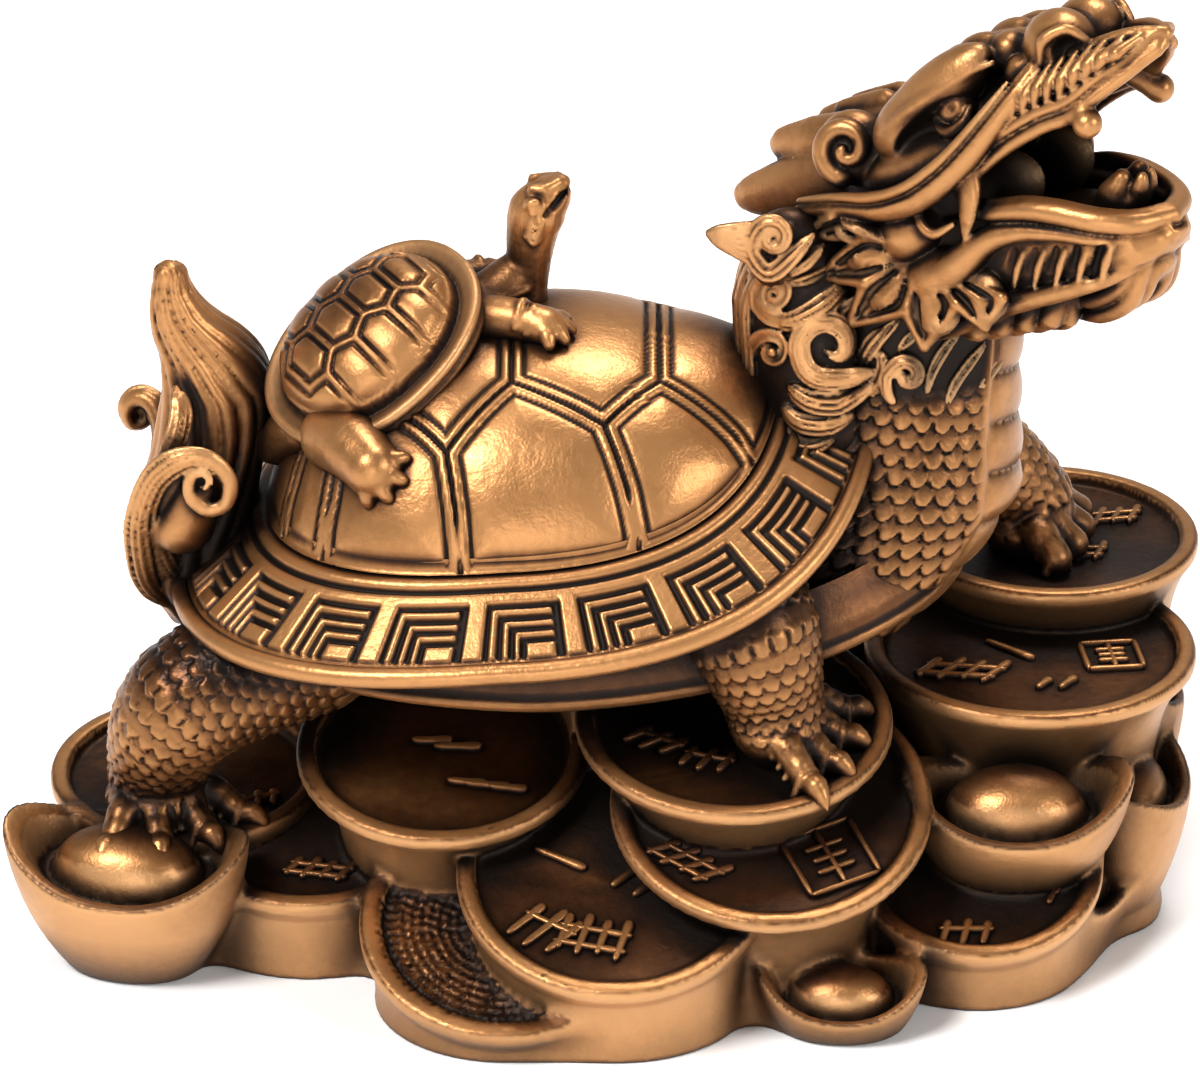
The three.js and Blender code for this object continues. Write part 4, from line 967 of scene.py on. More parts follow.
def make_neck():
    clay = Clay((8, -19, 39), (56, 19, 90), 0.33)
    add_column(clay, NECK)

    def scales(x, y, z):
        """Height of the scales, where they are, and the angle from the neck's front"""
        turn = np.arctan2(np.abs(y), x - at_level(NECK, z)[0])
        arc = turn * 14.2 + 0.14 * (z - 60)
        flank = step_between(THROAT_EDGE, 0.95, turn)
        bare = 1 - step_between(71.5, 75.5, z)
        return scale_height(arc + 1.4, z - 0.1 * arc, 2.7, 2.25, NECK_SCALE_RISE) * bare, flank, turn

    def skin(x, y, z):
        side, flank, turn = scales(x, y, z)
        wave = ((z - 0.25 * np.abs(y)) / 6.6) % 1
        plate = 1.0 * np.sqrt(np.maximum(np.sin(math.pi * wave), 0)) - 0.5
        edge = 0.5 * ridge(turn, THROAT_EDGE, 0.05)
        return (side - 0.1) * flank + plate * (1 - step_between(0.74, 0.82, turn)) + edge

    def hidden(spots, normals):
        """Dark between the scales, and painted shade under the jaw and behind, where the mane and the shell
        meet the neck
        """
        side, flank, _ = scales(*spots.T)
        between = 0.54 * flank * (1 - side / NECK_SCALE_RISE) ** 1.3
        beside = 1 - step_between(0.55, 0.9, normals[:, 0])
        back = 0.4 * (beside * (1 - step_between(26, 36, spots[:, 0])))
        jaw = 0.42 * (beside * step_between(70, 78, spots[:, 2]))
        return 0.05 + between + np.maximum(jaw, back)

    clay.relief(skin)
    return piece_of("neck", clay, 68000, hidden)


def seen(across, down, y, turns=5):
    """The spot at y that shows at a place in the main camera's view"""

    def pixels_per_mm(z):
        return FRAME_WIDTH * LENS / SENSOR / (SIGHT + COS_TILT * y - SIN_TILT * (z - AIM))

    z = 60.0
    for _ in range(turns):
        z = AIM + ((FRAME_HEIGHT / 2 - down) / pixels_per_mm(z) - SIN_TILT * y) / COS_TILT
    return np.array([(across - FRAME_WIDTH / 2) / pixels_per_mm(z), y, z])


def add_bundle(clay, points, normals, widths, count, thick=0.36, body=0.55):
    """Parallel thin strands along one route, with normals off the surface and widths along the route"""
    points, normals = np.array(points, float), np.array(normals, float)
    line, _ = smooth_route(points, np.ones(len(points)), 0.55)
    place = np.linspace(0, 1, len(line))
    marks = np.linspace(0, 1, len(points))
    out = np.stack([np.interp(place, marks, normals[:, k]) for k in range(3)], 1)
    width = np.interp(place, np.linspace(0, 1, len(widths)), widths)
    side = np.cross(out, np.gradient(line, axis=0))
    side /= np.maximum(np.linalg.norm(side, axis=1, keepdims=True), TINY)
    out /= np.linalg.norm(out, axis=1, keepdims=True)
    every = slice(None, None, 2)
    clay.strand((line - out * 0.3)[every], (body * width)[every].clip(0.25), 0.2)
    lean = np.minimum(1, np.minimum(place * 9 + 0.35, (1 - place) * 7 + 0.25)) * thick
    for k in range(count):
        share = 0 if count == 1 else 2 * k / (count - 1) - 1
        crown = 0.42 * (1 - share * share)
        offset = side * (0.5 * share * width)[:, None]
        lifted = out * (body * width * (0.55 + crown))[:, None].clip(0.3)
        clay.strand((line + offset + lifted - out * 0.25)[every], lean[every], 0.05)


def coil(across, down, wide, narrow, start, turns):
    """Places of a coil in the view: middle, radii from and to, start angle and turns, clockwise as seen"""
    steps = max(6, int(10 * turns))
    made = []
    for k in range(steps + 1):
        t = k / steps
        angle = math.radians(start + 360 * turns * t)
        r = wide + (narrow - wide) * t**0.85
        made.append((across + r * math.cos(angle), down + r * math.sin(angle)))
    return made


# Legs: upper joints, ankle, heading, coin underfoot, spread of the toes and whether the claws show
LEGS = {
    "leg_near_front": ([(16, -17, 50), (18.5, -23, 47)], (21, -23.5), -20, "under_front_foot", 66, True),
    "leg_far_front": ([(26, 15, 50), (43, 20, 52)], (54, 22), -15, "under_far_foot", 74, False),
    "leg_near_hind": ([(-36, -14, 41), (-50.5, -18, 35)], (-55, -15), -66, "under_hind_foot", 92, True),
    "leg_far_hind": ([(-32, 14, 41), (-43, 19, 34)], (-45, 18), 130, "far_rear", 84, True),
}
TOES, LEG_SCALE_RISE = 4, 0.6


def make_leg(name, budget, step):
    upper, ankle, heading, coin, spread, clawed = LEGS[name]
    ahead = np.array([*ray(heading), 0])
    beside = np.array([-ahead[1], ahead[0], 0])
    sole = face_height(coin, ankle[1])
    foot = np.array([*ankle, sole + 3.0]) + 0.9 * ahead
    joints = [np.array(p, float) for p in upper] + [np.array([*ankle, sole + 7.5]), foot]
    clay = Clay(np.min(joints, 0) - (17, 17, 8), np.max(joints, 0) + (17, 17, 11), step)
    route, _ = smooth_route(joints, [1, 1], 1.2)
    clay.strand(joints, (8.6, 7.8, 5.8, 5.2), 0.8)
    clay.lump(foot + (0, 0, 0.2), (5.4, 6.8, 3.6), 1.5, np.stack([ahead, beside, (0, 0, 1)], 1))

    def scales(x, y, z):
        """Height of the scales, and how far the spot is above the toes"""
        _, place, turn = along_route(route, x, y, z, (*ahead[:2], 0.3))
        rise = scale_height(turn * 6.4, -place, 2.0, 1.65, LEG_SCALE_RISE)
        return rise, step_between(sole + 2.2, sole + 4.6, z)

    clay.relief(lambda x, y, z: np.prod(scales(x, y, z), 0))
    for toe in range(TOES):
        share = toe / (TOES - 1) - 0.5
        way = np.array([*ray(heading + spread * share), 0])
        across = np.array([-way[1], way[0], 0])

        def on_coin(out, lift):
            spot = foot + beside * 6.4 * share + way * out
            spot[2] = face_height(coin, spot[1]) + lift
            return spot

        plump = 1.18 - 0.18 * clawed
        clay.strand([foot + beside * 4 * share + (0, 0, 0.6), on_coin(3.2, 4.4), on_coin(5.2, 3.2),
                     on_coin(6.9, 2.1)], (2.6, 2.15 * plump, 1.9 * plump, 1.8 * plump), 0.35)
        clay.lump(on_coin(3.1, 4.5), (2.0, 2.2, 1.8), 0.35)
        clay.lump(on_coin(5.7, 3.2), (1.7, 2.1, 1.8), 0.3)
        for fold in range(4):
            spot = on_coin(1.8 + 1.2 * fold, 6.0 - 0.75 * fold)
            ring = [spot - across * 2.1 - (0, 0, 1.8), spot + (0, 0, 0.3), spot + across * 2.1 - (0, 0, 1.8)]
            clay.strand(ring, (0.42, 0.55, 0.42), 0.15)
        cuticle = [on_coin(7.2, 0.5) - across * 2.0, on_coin(7.4, 3.0) - across * 1.15, on_coin(7.4, 3.6),
                   on_coin(7.4, 3.0) + across * 1.15, on_coin(7.2, 0.5) + across * 2.0]
        clay.strand(cuticle, (0.55,), 0.2)
        if clawed:
            claw = [on_coin(7.0, 1.9), on_coin(8.9, 2.3), on_coin(10.2, 1.5), on_coin(11.1, 0.3)]
            clay.strand(claw, (1.6, 1.5, 1.0, 0.2), 0.1)

    def tone(spots, normals):
        """Darker between the scales, and painted shade high up under the shell"""
        rise, bare = scales(*spots.T)
        between = 0.5 * bare * (1 - rise / LEG_SCALE_RISE) ** 1.3
        return 0.05 + between + 0.3 * step_between(sole + 19, sole + 27, spots[:, 2])

    return piece_of(name, clay, budget, tone)


# Tail: place and axes, and stations of its flame
TAIL_AT, TAIL_AXES = np.array([-51, 1, 39]), turned(20, 0)
TAIL = [(-2, 4, 7, 6), (5.3, 0.4, 7.7, 8), (11.4, 0, 7.5, 8.4), (21, 2.4, 6.6, 7.6), (29.5, 4.4, 7.0, 6.4),
        (34, 3.3, 6.2, 4.8), (37, 1.6, 5.6, 4.2), (40, -0.5, 4.0, 3.4), (43, -1.5, 2.9, 2.6),
        (46.2, -1.7, 1.9, 1.8)]
# Curls and sweeps beside the flame: places in the view with their y, widths, count of strands and thickness
near_curl = (
    [(176, 606, -3.5), (152, 582, -5.5), (143, 551, -8.2), (141, 515, -10.6), (155, 478, -12),
     (181, 459, -12.8), (209, 460, -13), (229, 480, -13), (226, 503, -13), (207, 510, -13.1),
     (190, 496, -13.3), (191, 477, -13.5), (204, 472, -13.7), (210, 485, -13.8), (200, 488, -13.9)],
    (1.5, 3.0, 3.6, 3.6, 3.4, 3.0, 3.0, 3.2, 2.4, 1.6, 1.2, 1.0, 0.9, 0.8, 0.5), 5, 0.4, 0.46)
far_curl = (
    [(150, 500, 2), (164, 462, 6), (164, 428, 9.5), (152, 402, 11.5), (137, 397, 12.4), (127, 409, 12.6),
     (133, 424, 12.8), (146, 420, 13.0), (144, 408, 13.2), (137, 412, 13.4)],
    (2.0, 3.4, 3.2, 2.8, 2.6, 2.4, 1.9, 1.3, 0.9, 0.5), 4, 0.42, 0.5)
trunk_sweeps = (
    ([(196, 588, -4), (170, 560, -7), (161, 524, -9.2), (168, 492, -10.4), (184, 476, -11)],
     (1.0, 2.4, 2.6, 2.0, 0.8), 4, 0.4, 0.46),
    ([(177, 390, -4.5), (181, 412, -6.2), (176, 436, -7.6), (164, 458, -8.6)],
     (1.2, 2.2, 2.4, 1.4), 4, 0.4, 0.46),
)


def make_tail():
    clay = Clay((-16, -21, -4), (17, 21, 49), 0.33, TAIL_AXES, TAIL_AT)
    add_column(clay, TAIL)
    clay.lump((-1.7, 0, 45.2), (2.1, 1.9, 2.0), 0.8)

    def flow(x, y, z):
        cx, rx, ry = at_level(TAIL, z)
        turn = np.arctan2((x - cx) / rx, np.abs(y) / ry)
        share = np.sin(turn)
        turn = turn + 0.16 * np.sin(0.16 * z + 0.8) + 0.28 * step_between(22, 38, z) * (1 - share**2)
        narrow = step_between(47, 30, z)
        many = 0.5 * np.abs(np.sin(8.7 * turn + 0.5 * np.sin(0.21 * z))) ** 0.7
        few = 0.62 * np.abs(np.sin(2.8 * turn + 0.35 * np.sin(0.13 * z + 1))) ** 0.55
        return many * (0.6 + 0.4 * narrow) + few * (0.3 + 0.7 * narrow) - 0.6

    def placed(spot):
        return (seen(*spot) - TAIL_AT) @ TAIL_AXES

    def lock(facing, path, *rest):
        add_bundle(clay, [placed(spot) for spot in path], [unit(facing)] * len(path), *rest)

    clay.relief(flow)
    lock((-0.35, -1, 0.05), *near_curl)
    core = [placed(spot) for spot in ((182, 520, -8), (196, 492, -9.0), (200, 487, -10.6))]
    clay.strand(core, (4.2, 3.4, 2.4), 0.9)
    lock((0.35, 1, 0.05), *far_curl)
    for sweep in trunk_sweeps:
        lock((-0.1, -1, 0.05), *sweep)

    def hidden(spots, normals):
        """Painted shade low down between the curl and the flame"""
        x, y, z = ((spots - TAIL_AT) @ TAIL_AXES).T
        low = 0.4 * (1 - step_between(14, 26, z))
        return low * (1 - step_between(7.5, 10.5, np.abs(y))) * step_between(-6, -2, x)

    return piece_of("flame_tail", clay, 60000, hidden)


# Young turtle: place and axes, half sizes and power of its shell's outline, and the share where its dome ends
YOUNG_AT, YOUNG_AXES = np.array([-27.4, -4, 76.4]), turned(28, 37, 8)
YOUNG_HALF_X, YOUNG_HALF_Y, YOUNG_POWER = 15.2, 13.2, 2.2
YOUNG_DOME_SHARE, YOUNG_PLATE_HALF = 0.81, 3.5
YOUNG_SPINE = (-9.6, -4.4, 1.2, 6.4, 10.6)
# Rings round its shell: half sizes, level, radius and softness
YOUNG_RINGS = ((14.7, 12.7, 0.9, 0.55, 0.4), (14.3, 12.3, -0.9, 0.7, 0.3))


def on_dome(across, down):
    """The spot of the big shell that shows at a place in the main view"""
    spots = np.array([seen(across, down, y) for y in np.linspace(-32, 6, 60)])
    above = spots[:, 2] - shell_height(spots[:, 0], spots[:, 1])
    return spots[int(np.argmin(np.abs(above)))]


def by_young(*offset):
    return YOUNG_AT + np.array(offset, float)


def young_share(x, y):
    return squircle(x, y, YOUNG_HALF_X, YOUNG_HALF_Y, YOUNG_POWER)


def young_plate_lines():
    """Borders between the plates of the young turtle's shell, in plan"""
    inner, outer = YOUNG_PLATE_HALF - 0.8, YOUNG_PLATE_HALF + 0.7
    lines = []
    for x, ahead in zip(YOUNG_SPINE[:-1], YOUNG_SPINE[1:]):
        middle = 0.5 * (x + ahead)
        for side in (-1, 1):
            corner = (middle, side * outer)
            lines += [((x, side * inner), corner), (corner, (ahead, side * inner)),
                      (corner, (middle * 1.05, side * 9.6))]
        lines.append(((x, inner), (x, -inner)))
    return lines + [((YOUNG_SPINE[-1], inner), (YOUNG_SPINE[-1], -inner))]


def make_young_shell():
    low, high = (-18, -17, -8), (18, 17, 10)
    clay = Clay(low, high, 0.27, YOUNG_AXES, YOUNG_AT)
    part, x, y, z = clay.region(low, high)
    share = young_share(x, y)
    flare = 0.5 + 1.1 * step_between(0.82, 1.0, share) * 0.5
    dome = 1.7 + 6.4 * np.sqrt(np.maximum(1 - (share / YOUNG_DOME_SHARE) ** 2, 0))
    top = np.maximum(np.where(share < YOUNG_DOME_SHARE, dome, 0), flare + 0.6)
    under = -4.8 * np.sqrt(np.maximum(1 - (share / 0.96) ** 2, 0)) + 0.1
    body = smax((z - top) * 0.75, (under - z) * 0.8, 0.8)
    clay.add(part, smax(body, (share - 1) * 13.5, 0.9), 0.5)
    rim = np.linspace(0, 2 * math.pi, 49)
    for half_x, half_y, level, radius, soft in YOUNG_RINGS:
        ring_x, ring_y = half_x * bent(np.cos(rim), YOUNG_POWER), half_y * bent(np.sin(rim), YOUNG_POWER)
        clay.strand(np.column_stack([ring_x, ring_y, level + 0 * rim]), (radius,), soft)

    def plates(px, py, pz):
        out = young_share(px, py)
        d = np.full(px.shape, 9.0)
        for (ax, ay), (bx, by) in young_plate_lines():
            wx, wy = bx - ax, by - ay
            t = np.clip(((px - ax) * wx + (py - ay) * wy) / (wx * wx + wy * wy), 0, 1)
            d = np.minimum(d, np.hypot(px - ax - t * wx, py - ay - t * wy))
        d = np.minimum(d, np.abs(out - 0.8) * 13.5 + 0.25)
        on_top = step_between(0.8, 2.0, pz) * (1 - step_between(0.8, 0.82, out))
        rise = 0.1 * step_between(0.8, 1.4, d) - 0.42 * ridge(d, 0.62, 0.24)
        return (rise + 0.08 * step_between(1.2, 2.4, d)) * on_top

    def rim_tone(spots, normals):
        """The rim is worn paler"""
        px, py, pz = ((spots - YOUNG_AT) @ YOUNG_AXES).T
        return -0.2 * step_between(0.83, 0.88, young_share(px, py)) * step_between(-0.6, 0.2, pz)

    clay.relief(plates)
    return piece_of("young_turtle_shell", clay, 46000, rim_tone)


# Its legs: start, foot on the big shell, radius and size of the sole
young_legs = (
    ((-17.5, -2.6, 79.4), on_dome(544, 338), 2.9, 2.6),
    (by_young(4, 8, 3), by_young(15, 13.5, 0.5), 3.0, 2.7),
    (seen(336, 436, -12), on_dome(373, 482), 4.4, 3.5),
    (seen(304, 424, -6), on_dome(277, 466), 3.4, 2.8),
)
# Its neck and head in the view, and lines on both sides of the head with distances from its middle
YOUNG_HEAD_Y = 4.0
young_stem = ((524, 306), (527, 282), (529, 258), (532, 232), (537, 212), (549, 197), (561, 184))
young_face = (
    ([(527, 200, 2.9), (530, 193, 3.2), (537, 192, 3.2), (540, 197, 2.9)],
     (0.3, 0.42, 0.42, 0.3), 0.1, False),
    ([(528, 201, 2.9), (534, 203, 3.3), (540, 199, 2.9)], (0.3, 0.4, 0.3), 0.1, False),
    ([(533, 184, 1.6), (545, 184, 1.8), (558, 179, 1.0)], (0.7, 0.8, 0.6), 0.4, False),
    ([(545, 206, 3.2), (553, 199, 2.6), (562, 190, 1.5), (568, 186, 0)],
     (0.35, 0.42, 0.42, 0.35), 0.12, True),
)


def make_young_body():
    body = Clay((-48, -26, 60), (2, 14, 99), 0.34)
    body.strand([by_young(4, 2, 0), by_young(13, 6, 2.6), by_young(17.0, 7.6, 6.5)], (5.2, 4.2, 2.6), 0.5)
    for k in range(2):
        fold = [by_young(11.6 + k, 3.2, 3.4 + 1.7 * k), by_young(14.6 + k, 3.4, 3.0 + 1.9 * k),
                by_young(17.6 + k, 5.2, 3.2 + 2.1 * k)]
        body.strand(fold, (0.4, 0.55, 0.3), 0.5)
    for start, foot, radius, sole in young_legs:
        end = np.array(foot, float)
        end[2] = shell_height(np.array([end[0]]), np.array([end[1]]))[0] + 1.9
        middle = 0.5 * (start + end) + (0, 0, 0.6)
        body.strand([start, middle, end], (radius, 0.95 * radius, 0.8 * radius), 0.6)
        nudge = 0.5
        level = shell_height(end[0] + nudge * np.array([0, 1, 0]), end[1] + nudge * np.array([0, 0, 1]))
        up = unit((-(level[1] - level[0]) / nudge, -(level[2] - level[0]) / nudge, 1.0))
        way = unit((end - middle) - up * np.dot(end - middle, up))
        across = np.cross(up, way)
        body.lump(end + way * 0.3, (sole, sole, 1.7), 0.6, np.stack([way, across, up], 1))
        for fold in range(2):
            spot = end - way * (1.4 + 1.5 * fold) + up * (0.6 + 0.5 * fold)
            half = across * 0.9 * sole
            ring = [spot - half - up * 0.8, spot + up * 1.5, spot + half - up * 0.8]
            body.strand(ring, (0.4, 0.6, 0.4), 0.3)
        for toe in range(4):
            c, s = ray(-57 + 38 * toe)
            tip = way * c + across * s
            claw = [end + tip * 1.2 + up * 0.4, end + tip * (sole - 0.2), end + tip * (sole + 0.7) - up * 0.5]
            body.strand(claw, (1.2, 1.15, 0.8), 0.2)
    stem = [seen(u, v, YOUNG_HEAD_Y) for u, v in young_stem]
    body.strand(stem, (3.0, 2.5, 2.7, 3.1, 3.5, 2.7, 1.3), 0.4)
    for side in (-1, 1):

        def off(u, v, out):
            return seen(u, v, YOUNG_HEAD_Y) + (0, side * out, 0)

        body.lump(off(534, 197, 2.5), (1.2, 1.0, 1.1), 0.2)
        for path, radii, soft, carve in young_face:
            body.strand([off(*spot) for spot in path], radii, soft, carve=carve)
        for fold in range(4):
            ring = [off(531 - 1.5 * fold, 210 + 5.5 * fold, 3.4), off(537 - fold, 216 + 5.5 * fold, 3.5),
                    off(544 - fold, 212 + 5.5 * fold, 3.1)]
            body.strand(ring, (0.25, 0.38, 0.25), 0.2)
    route, _ = smooth_route([by_young(14, 7, 4), by_young(17.6, 8, 8.5), by_young(18.2, 8, 13.4)], [1, 1], 1)

    def skin(x, y, z):
        far, place, turn = along_route(route, x, y, z, (0, -1, 0))
        return 0.1 * scale_height(turn * 3.4, place, 1.2, 1.0, 1.0) * (far < 5) * step_between(0.5, 2, place)

    body.relief(skin)
    return piece_of("young_turtle_body", body, 44000)


# Mane: stations of the column that its hair lies on
MANE = [(56, 30, 9.4, 11.4), (68, 28, 9.8, 12.4), (80, 26.5, 9.3, 10.9), (87, 26, 8, 9), (91, 26.4, 5.4, 6)]
# Locks on its sides: places in the view, widths, count of strands, and where given lift, thickness and body
mane_locks = (
    # Straight sweeps that come from under the frill
    ([(818, 231), (796, 252), (776, 272)], (1.4, 2.5, 1.8), 4),
    ([(834, 262), (806, 276), (786, 282)], (1.2, 1.8, 1.0), 3),
    ([(846, 283), (824, 304), (800, 319), (778, 322)], (1.4, 2.6, 2.4, 1.6), 4),
    ([(868, 296), (842, 311), (812, 326), (796, 336)], (1.0, 1.6, 1.4, 0.8), 3, 0.0),
    ([(884, 330), (872, 345), (862, 362)], (1.2, 2.0, 1.4), 3, 0.0),
    # Curls down its back edge
    ([(790, 321), (770, 316), (757, 303)] + coil(774.5, 293, 18, 2.5, 165, 1.75),
     (1.8, 1.6, 1.3, 1.2, 1.1, 0.8, 0.5), 2, 0.5, 0.38),
    ([(758, 391), (750, 380), (747, 364)] + coil(772, 351, 20, 3, 185, 1.3),
     (0.8, 1.3, 1.4, 1.3, 1.1, 0.7, 0.4), 2, 0.4, 0.38),
    ([(753, 268), (744, 281), (739, 297), (742, 318), (753, 334)], (0.8, 1.6, 1.9, 1.6, 0.8), 3, 0.1),
    (coil(750, 274, 6, 1, 180, 1.2), (0.5, 0.5, 0.3), 1, 0.7, 0.4),
    ([(738, 342), (740, 372), (752, 404)], (1.0, 1.8, 1.2), 3, 0.0),
    # The large curl and the sweeps under it
    ([(874, 371), (844, 378), (818, 377), (804, 364), (800, 342), (809, 327), (826, 321), (842, 329),
      (847, 345), (839, 356), (826, 353)],
     (0.9, 1.9, 2.4, 2.4, 2.2, 2.1, 2.2, 2.3, 2.2, 1.6, 0.6), 5, 0.5, 0.36, 0.42),
    ([(792, 388), (810, 400), (834, 403), (858, 393), (875, 380)], (1.6, 2.4, 2.5, 1.9, 0.8), 4, 0.4),
    ([(784, 407), (800, 421), (826, 424), (856, 412)], (1.2, 2.2, 2.2, 0.9), 4, 0.3),
    ([(776, 424), (790, 440), (812, 446), (836, 436)], (1.0, 1.9, 1.8, 0.7), 3, 0.2),
    # Curl below the jaw and the sweep beside it
    ([(894, 404), (887, 392), (886, 376)] + coil(907, 375, 17, 3, 195, 1.15),
     (0.6, 1.1, 1.3, 1.3, 1.2, 0.9, 0.5), 3, 0.6, 0.36),
    ([(880, 352), (884, 366), (878, 384), (868, 396)], (0.8, 1.4, 1.4, 0.7), 3, 0.1),
)
BALL_LOCK, BALL_AT, BALL_SIZE = 6, (773, 352, 0.9), 0.75  # the curl with a ball in its middle
# Thin sweeps down the upper neck, under the jaw
thin_sweeps = (
    [(930, 322), (912, 336), (897, 352)], [(960, 330), (944, 350), (931, 374), (926, 396)],
    [(986, 342), (970, 362), (954, 386), (945, 410)], [(1004, 352), (994, 368), (977, 392)],
    [(900, 318), (886, 332), (876, 350)],
)


def on_mane(across, down, lift=0.0):
    """The spot on the side of the mane that shows at a place in the main view, mirrored, and its normal"""
    y = -12.0
    for _ in range(7):
        spot = seen(across, down, y, 4)
        reach = []
        for cx, rx, ry in (at_level(MANE, spot[2]), at_level(NECK, spot[2])):
            share = np.clip((spot[0] - cx) / rx, -0.96, 0.96)
            high = ry * math.sqrt(1 - share**2) if abs(spot[0] - cx) < 0.96 * rx else 0
            reach.append((high, share, rx, ry))
        high, share, rx, ry = max(reach)
        y = -(high + lift)
    share = np.clip(share, -0.9, 0.9)
    normal = unit((share / rx, math.sqrt(1 - share**2) / ry, 0.02))
    return seen(across, down, y, 4) * (1, -1, 1), normal


def make_mane():
    clay = Clay((8, 0, 54), (54, 19, 98), 0.28, mirrored=True)
    add_column(clay, MANE)

    def hair(path, widths, count, lift=0.3, thick=0.36, body=0.5):
        spots = [on_mane(u, v, lift) for u, v in path]
        add_bundle(clay, [s[0] for s in spots], [s[1] for s in spots], widths, count, thick, body)

    for k, lock in enumerate(mane_locks):
        hair(*lock)
        if k == BALL_LOCK:
            clay.lump(on_mane(*BALL_AT)[0], (BALL_SIZE,) * 3, 0.1)
    for path in thin_sweeps:
        hair(path, (0.4, 1.0, 0.9, 0.3), 2, 0.1, 0.3, 0.3)
    # Plainer locks that fall down the back
    for k in range(3):
        y = 0.2 + 2.3 * k
        path, normals = [], []
        for n, z in enumerate((88 - 0.6 * k, 82, 75, 68, 61.5 + 1.5 * (k % 2))):
            cx, rx, ry = at_level(MANE, z)
            at_y = min(y + 0.45 * (-1) ** n, 0.93 * ry)
            back = math.sqrt(1 - (at_y / ry) ** 2)
            path.append((cx - (rx + 0.25) * back, at_y, z))
            normals.append(unit((-back / rx, at_y / ry**2, 0.0)))
        add_bundle(clay, path, normals, (1.2, 2.0, 2.2, 2.0, 0.8), 4, 0.36, 0.45)

    def hidden(spots, normals):
        """Dark between the locks, and painted shade under the jaw"""
        x, y, z = spots.T
        cx, rx, ry = at_level(MANE, z)
        share = np.sqrt(((x - cx) / rx) ** 2 + (y / ry) ** 2)
        under_jaw = 0.5 * step_between(36, 38.5, x) * step_between(66, 70, z)
        return np.maximum(0.5 * (1 - step_between(1.01, 1.08, share)), under_jaw)

    return piece_of("mane", clay, 100000, hidden)


CREST_Y = -9.4
crest_curl = (
    [(812, 236), (794, 254), (772, 272), (759, 264), (751, 248)] + coil(773, 237, 18, 2.5, 200, 1.55),
    (0.8, 1.7, 1.9, 1.7, 1.4, 1.3, 1.1, 0.8, 0.4), 3, 0.4)
crest_sweep = ([(822, 246), (804, 262), (786, 274)], (0.8, 1.6, 0.8), 3, 0.0)


def make_crest():
    """A coil and a pointed lock at the top of the mane, on the near side only"""
    crest = Clay((9, -15, 82), (33, -1, 100), 0.27)
    crest.lump((22.9, -5.7, 89.8), (5.1, 3.7, 5.6), 0.5)
    crest.lump((26.0, -4.0, 88.0), (5.0, 4.2, 5.6), 1.0)
    for path, widths, count, lift in (crest_curl, crest_sweep):
        y = CREST_Y - lift
        spots = [seen(u, v, y + 0.05 * (seen(u, v, y)[0] - 23) ** 2) for u, v in path]
        add_bundle(crest, spots, [unit((-0.35, -1, 0.1))] * len(spots), widths, count, 0.38, 0.5)
    tip = np.array([12.9, -8.2, 93.2])
    core = [(24, -6.8, 90.4), (18.6, -7.6, 92.0), (14.2, -8.0, 93.1)]
    crest.strand(core, (3.8, 2.6, 0.9), 0.3, 0.42, (0.1, 0, 1))
    for k in range(7):
        share = k / 3 - 1
        base = np.array([23.0, -8.2, 90.4 + 3.7 * share])
        middle = np.array([18.4, -8.7 - 0.35 * (1 - share * share), 92.0 + 2.6 * share])
        before_tip = 0.75 * tip + 0.25 * middle - (0, 0.2, -0.5 * share)
        crest.strand([base, middle, before_tip, tip + (0, 0, 0.12 * share)], (0.38, 0.44, 0.42, 0.3), 0.05)

    # Painted shade on the parts of the crest that lie behind its near strands
    def dark(spots, normals):
        return 0.45 * step_between(-9.3, -8.5, spots[:, 1])

    return piece_of("mane_crest", crest, 34000, dark)


# Head: place and axes, with x to the nose and y to the side
HEAD_AT, HEAD_AXES = (40.4, -1, 92), turned(-40, 30)
# Jaws: stations of x, half width, bottom and top; and half sections as shares of these
upper_jaw = [(8, 10.2, 3.6, 15), (17, 9.6, 4.6, 14.4), (26, 8.7, 6.8, 13.2), (33, 7.2, 7.2, 12.8),
             (39, 4.9, 8.9, 12.6), (43.8, 1.6, 9.8, 11.6)]
upper_section = [(0, 0.5), (0.5, 0.46), (0.8, 0.2), (0.9, 0), (1, 0.1), (0.88, 0.5), (0.5, 0.93), (0, 1)]
lower_jaw = [(3, 9.8, -12, 1), (19, 8.9, -12.3, -1.2), (28, 7.7, -12.6, -4.8), (32.4, 5.4, -12.4, -7.4),
             (34.8, 1.8, -11.4, -8.8)]
lower_section = [(0, 0.5), (0.6, 0.52), (0.78, 0.96), (0.94, 0.98), (1, 0.62), (0.96, 0.3), (0.8, 0.03),
                 (0.4, 0), (0, 0)]
JAW_ROUNDING = 0.5
# Lines along the face. The radii of the whisker lie at its points
whisker = [(-9.4, 12.8, 7.4), (-6.6, 13.0, 7.2), (-0.8, 12.9, 5.9), (4.4, 12.8, 4.3), (9.6, 12.7, 3.9),
           (14.6, 12.2, 4.9), (18.9, 11.4, 6.6), (23.4, 10.2, 9.0), (27.2, 8.6, 11.4), (29.6, 6.8, 13.4)]
whisker_radii = (0.35, 0.95, 1.35, 1.6, 1.75, 1.75, 1.65, 1.5, 1.3, 0.9)
upper_lip = [(14.8, 10.4, 2.8), (19.4, 10.0, 4.7), (23.6, 9.5, 5.9), (28.9, 8.6, 6.7), (32.9, 7.6, 6.7),
             (36.5, 6.0, 7.9), (40.6, 3.6, 9.1), (43.9, 0.6, 10.4)]
lower_lip = [(15.0, 10.0, 0.2), (18.3, 9.7, -0.9), (22.4, 9.3, -1.8), (26.3, 8.6, -3.5), (30.2, 7.2, -6.0),
             (33.2, 4.6, -7.9), (34.9, 0, -8.8)]
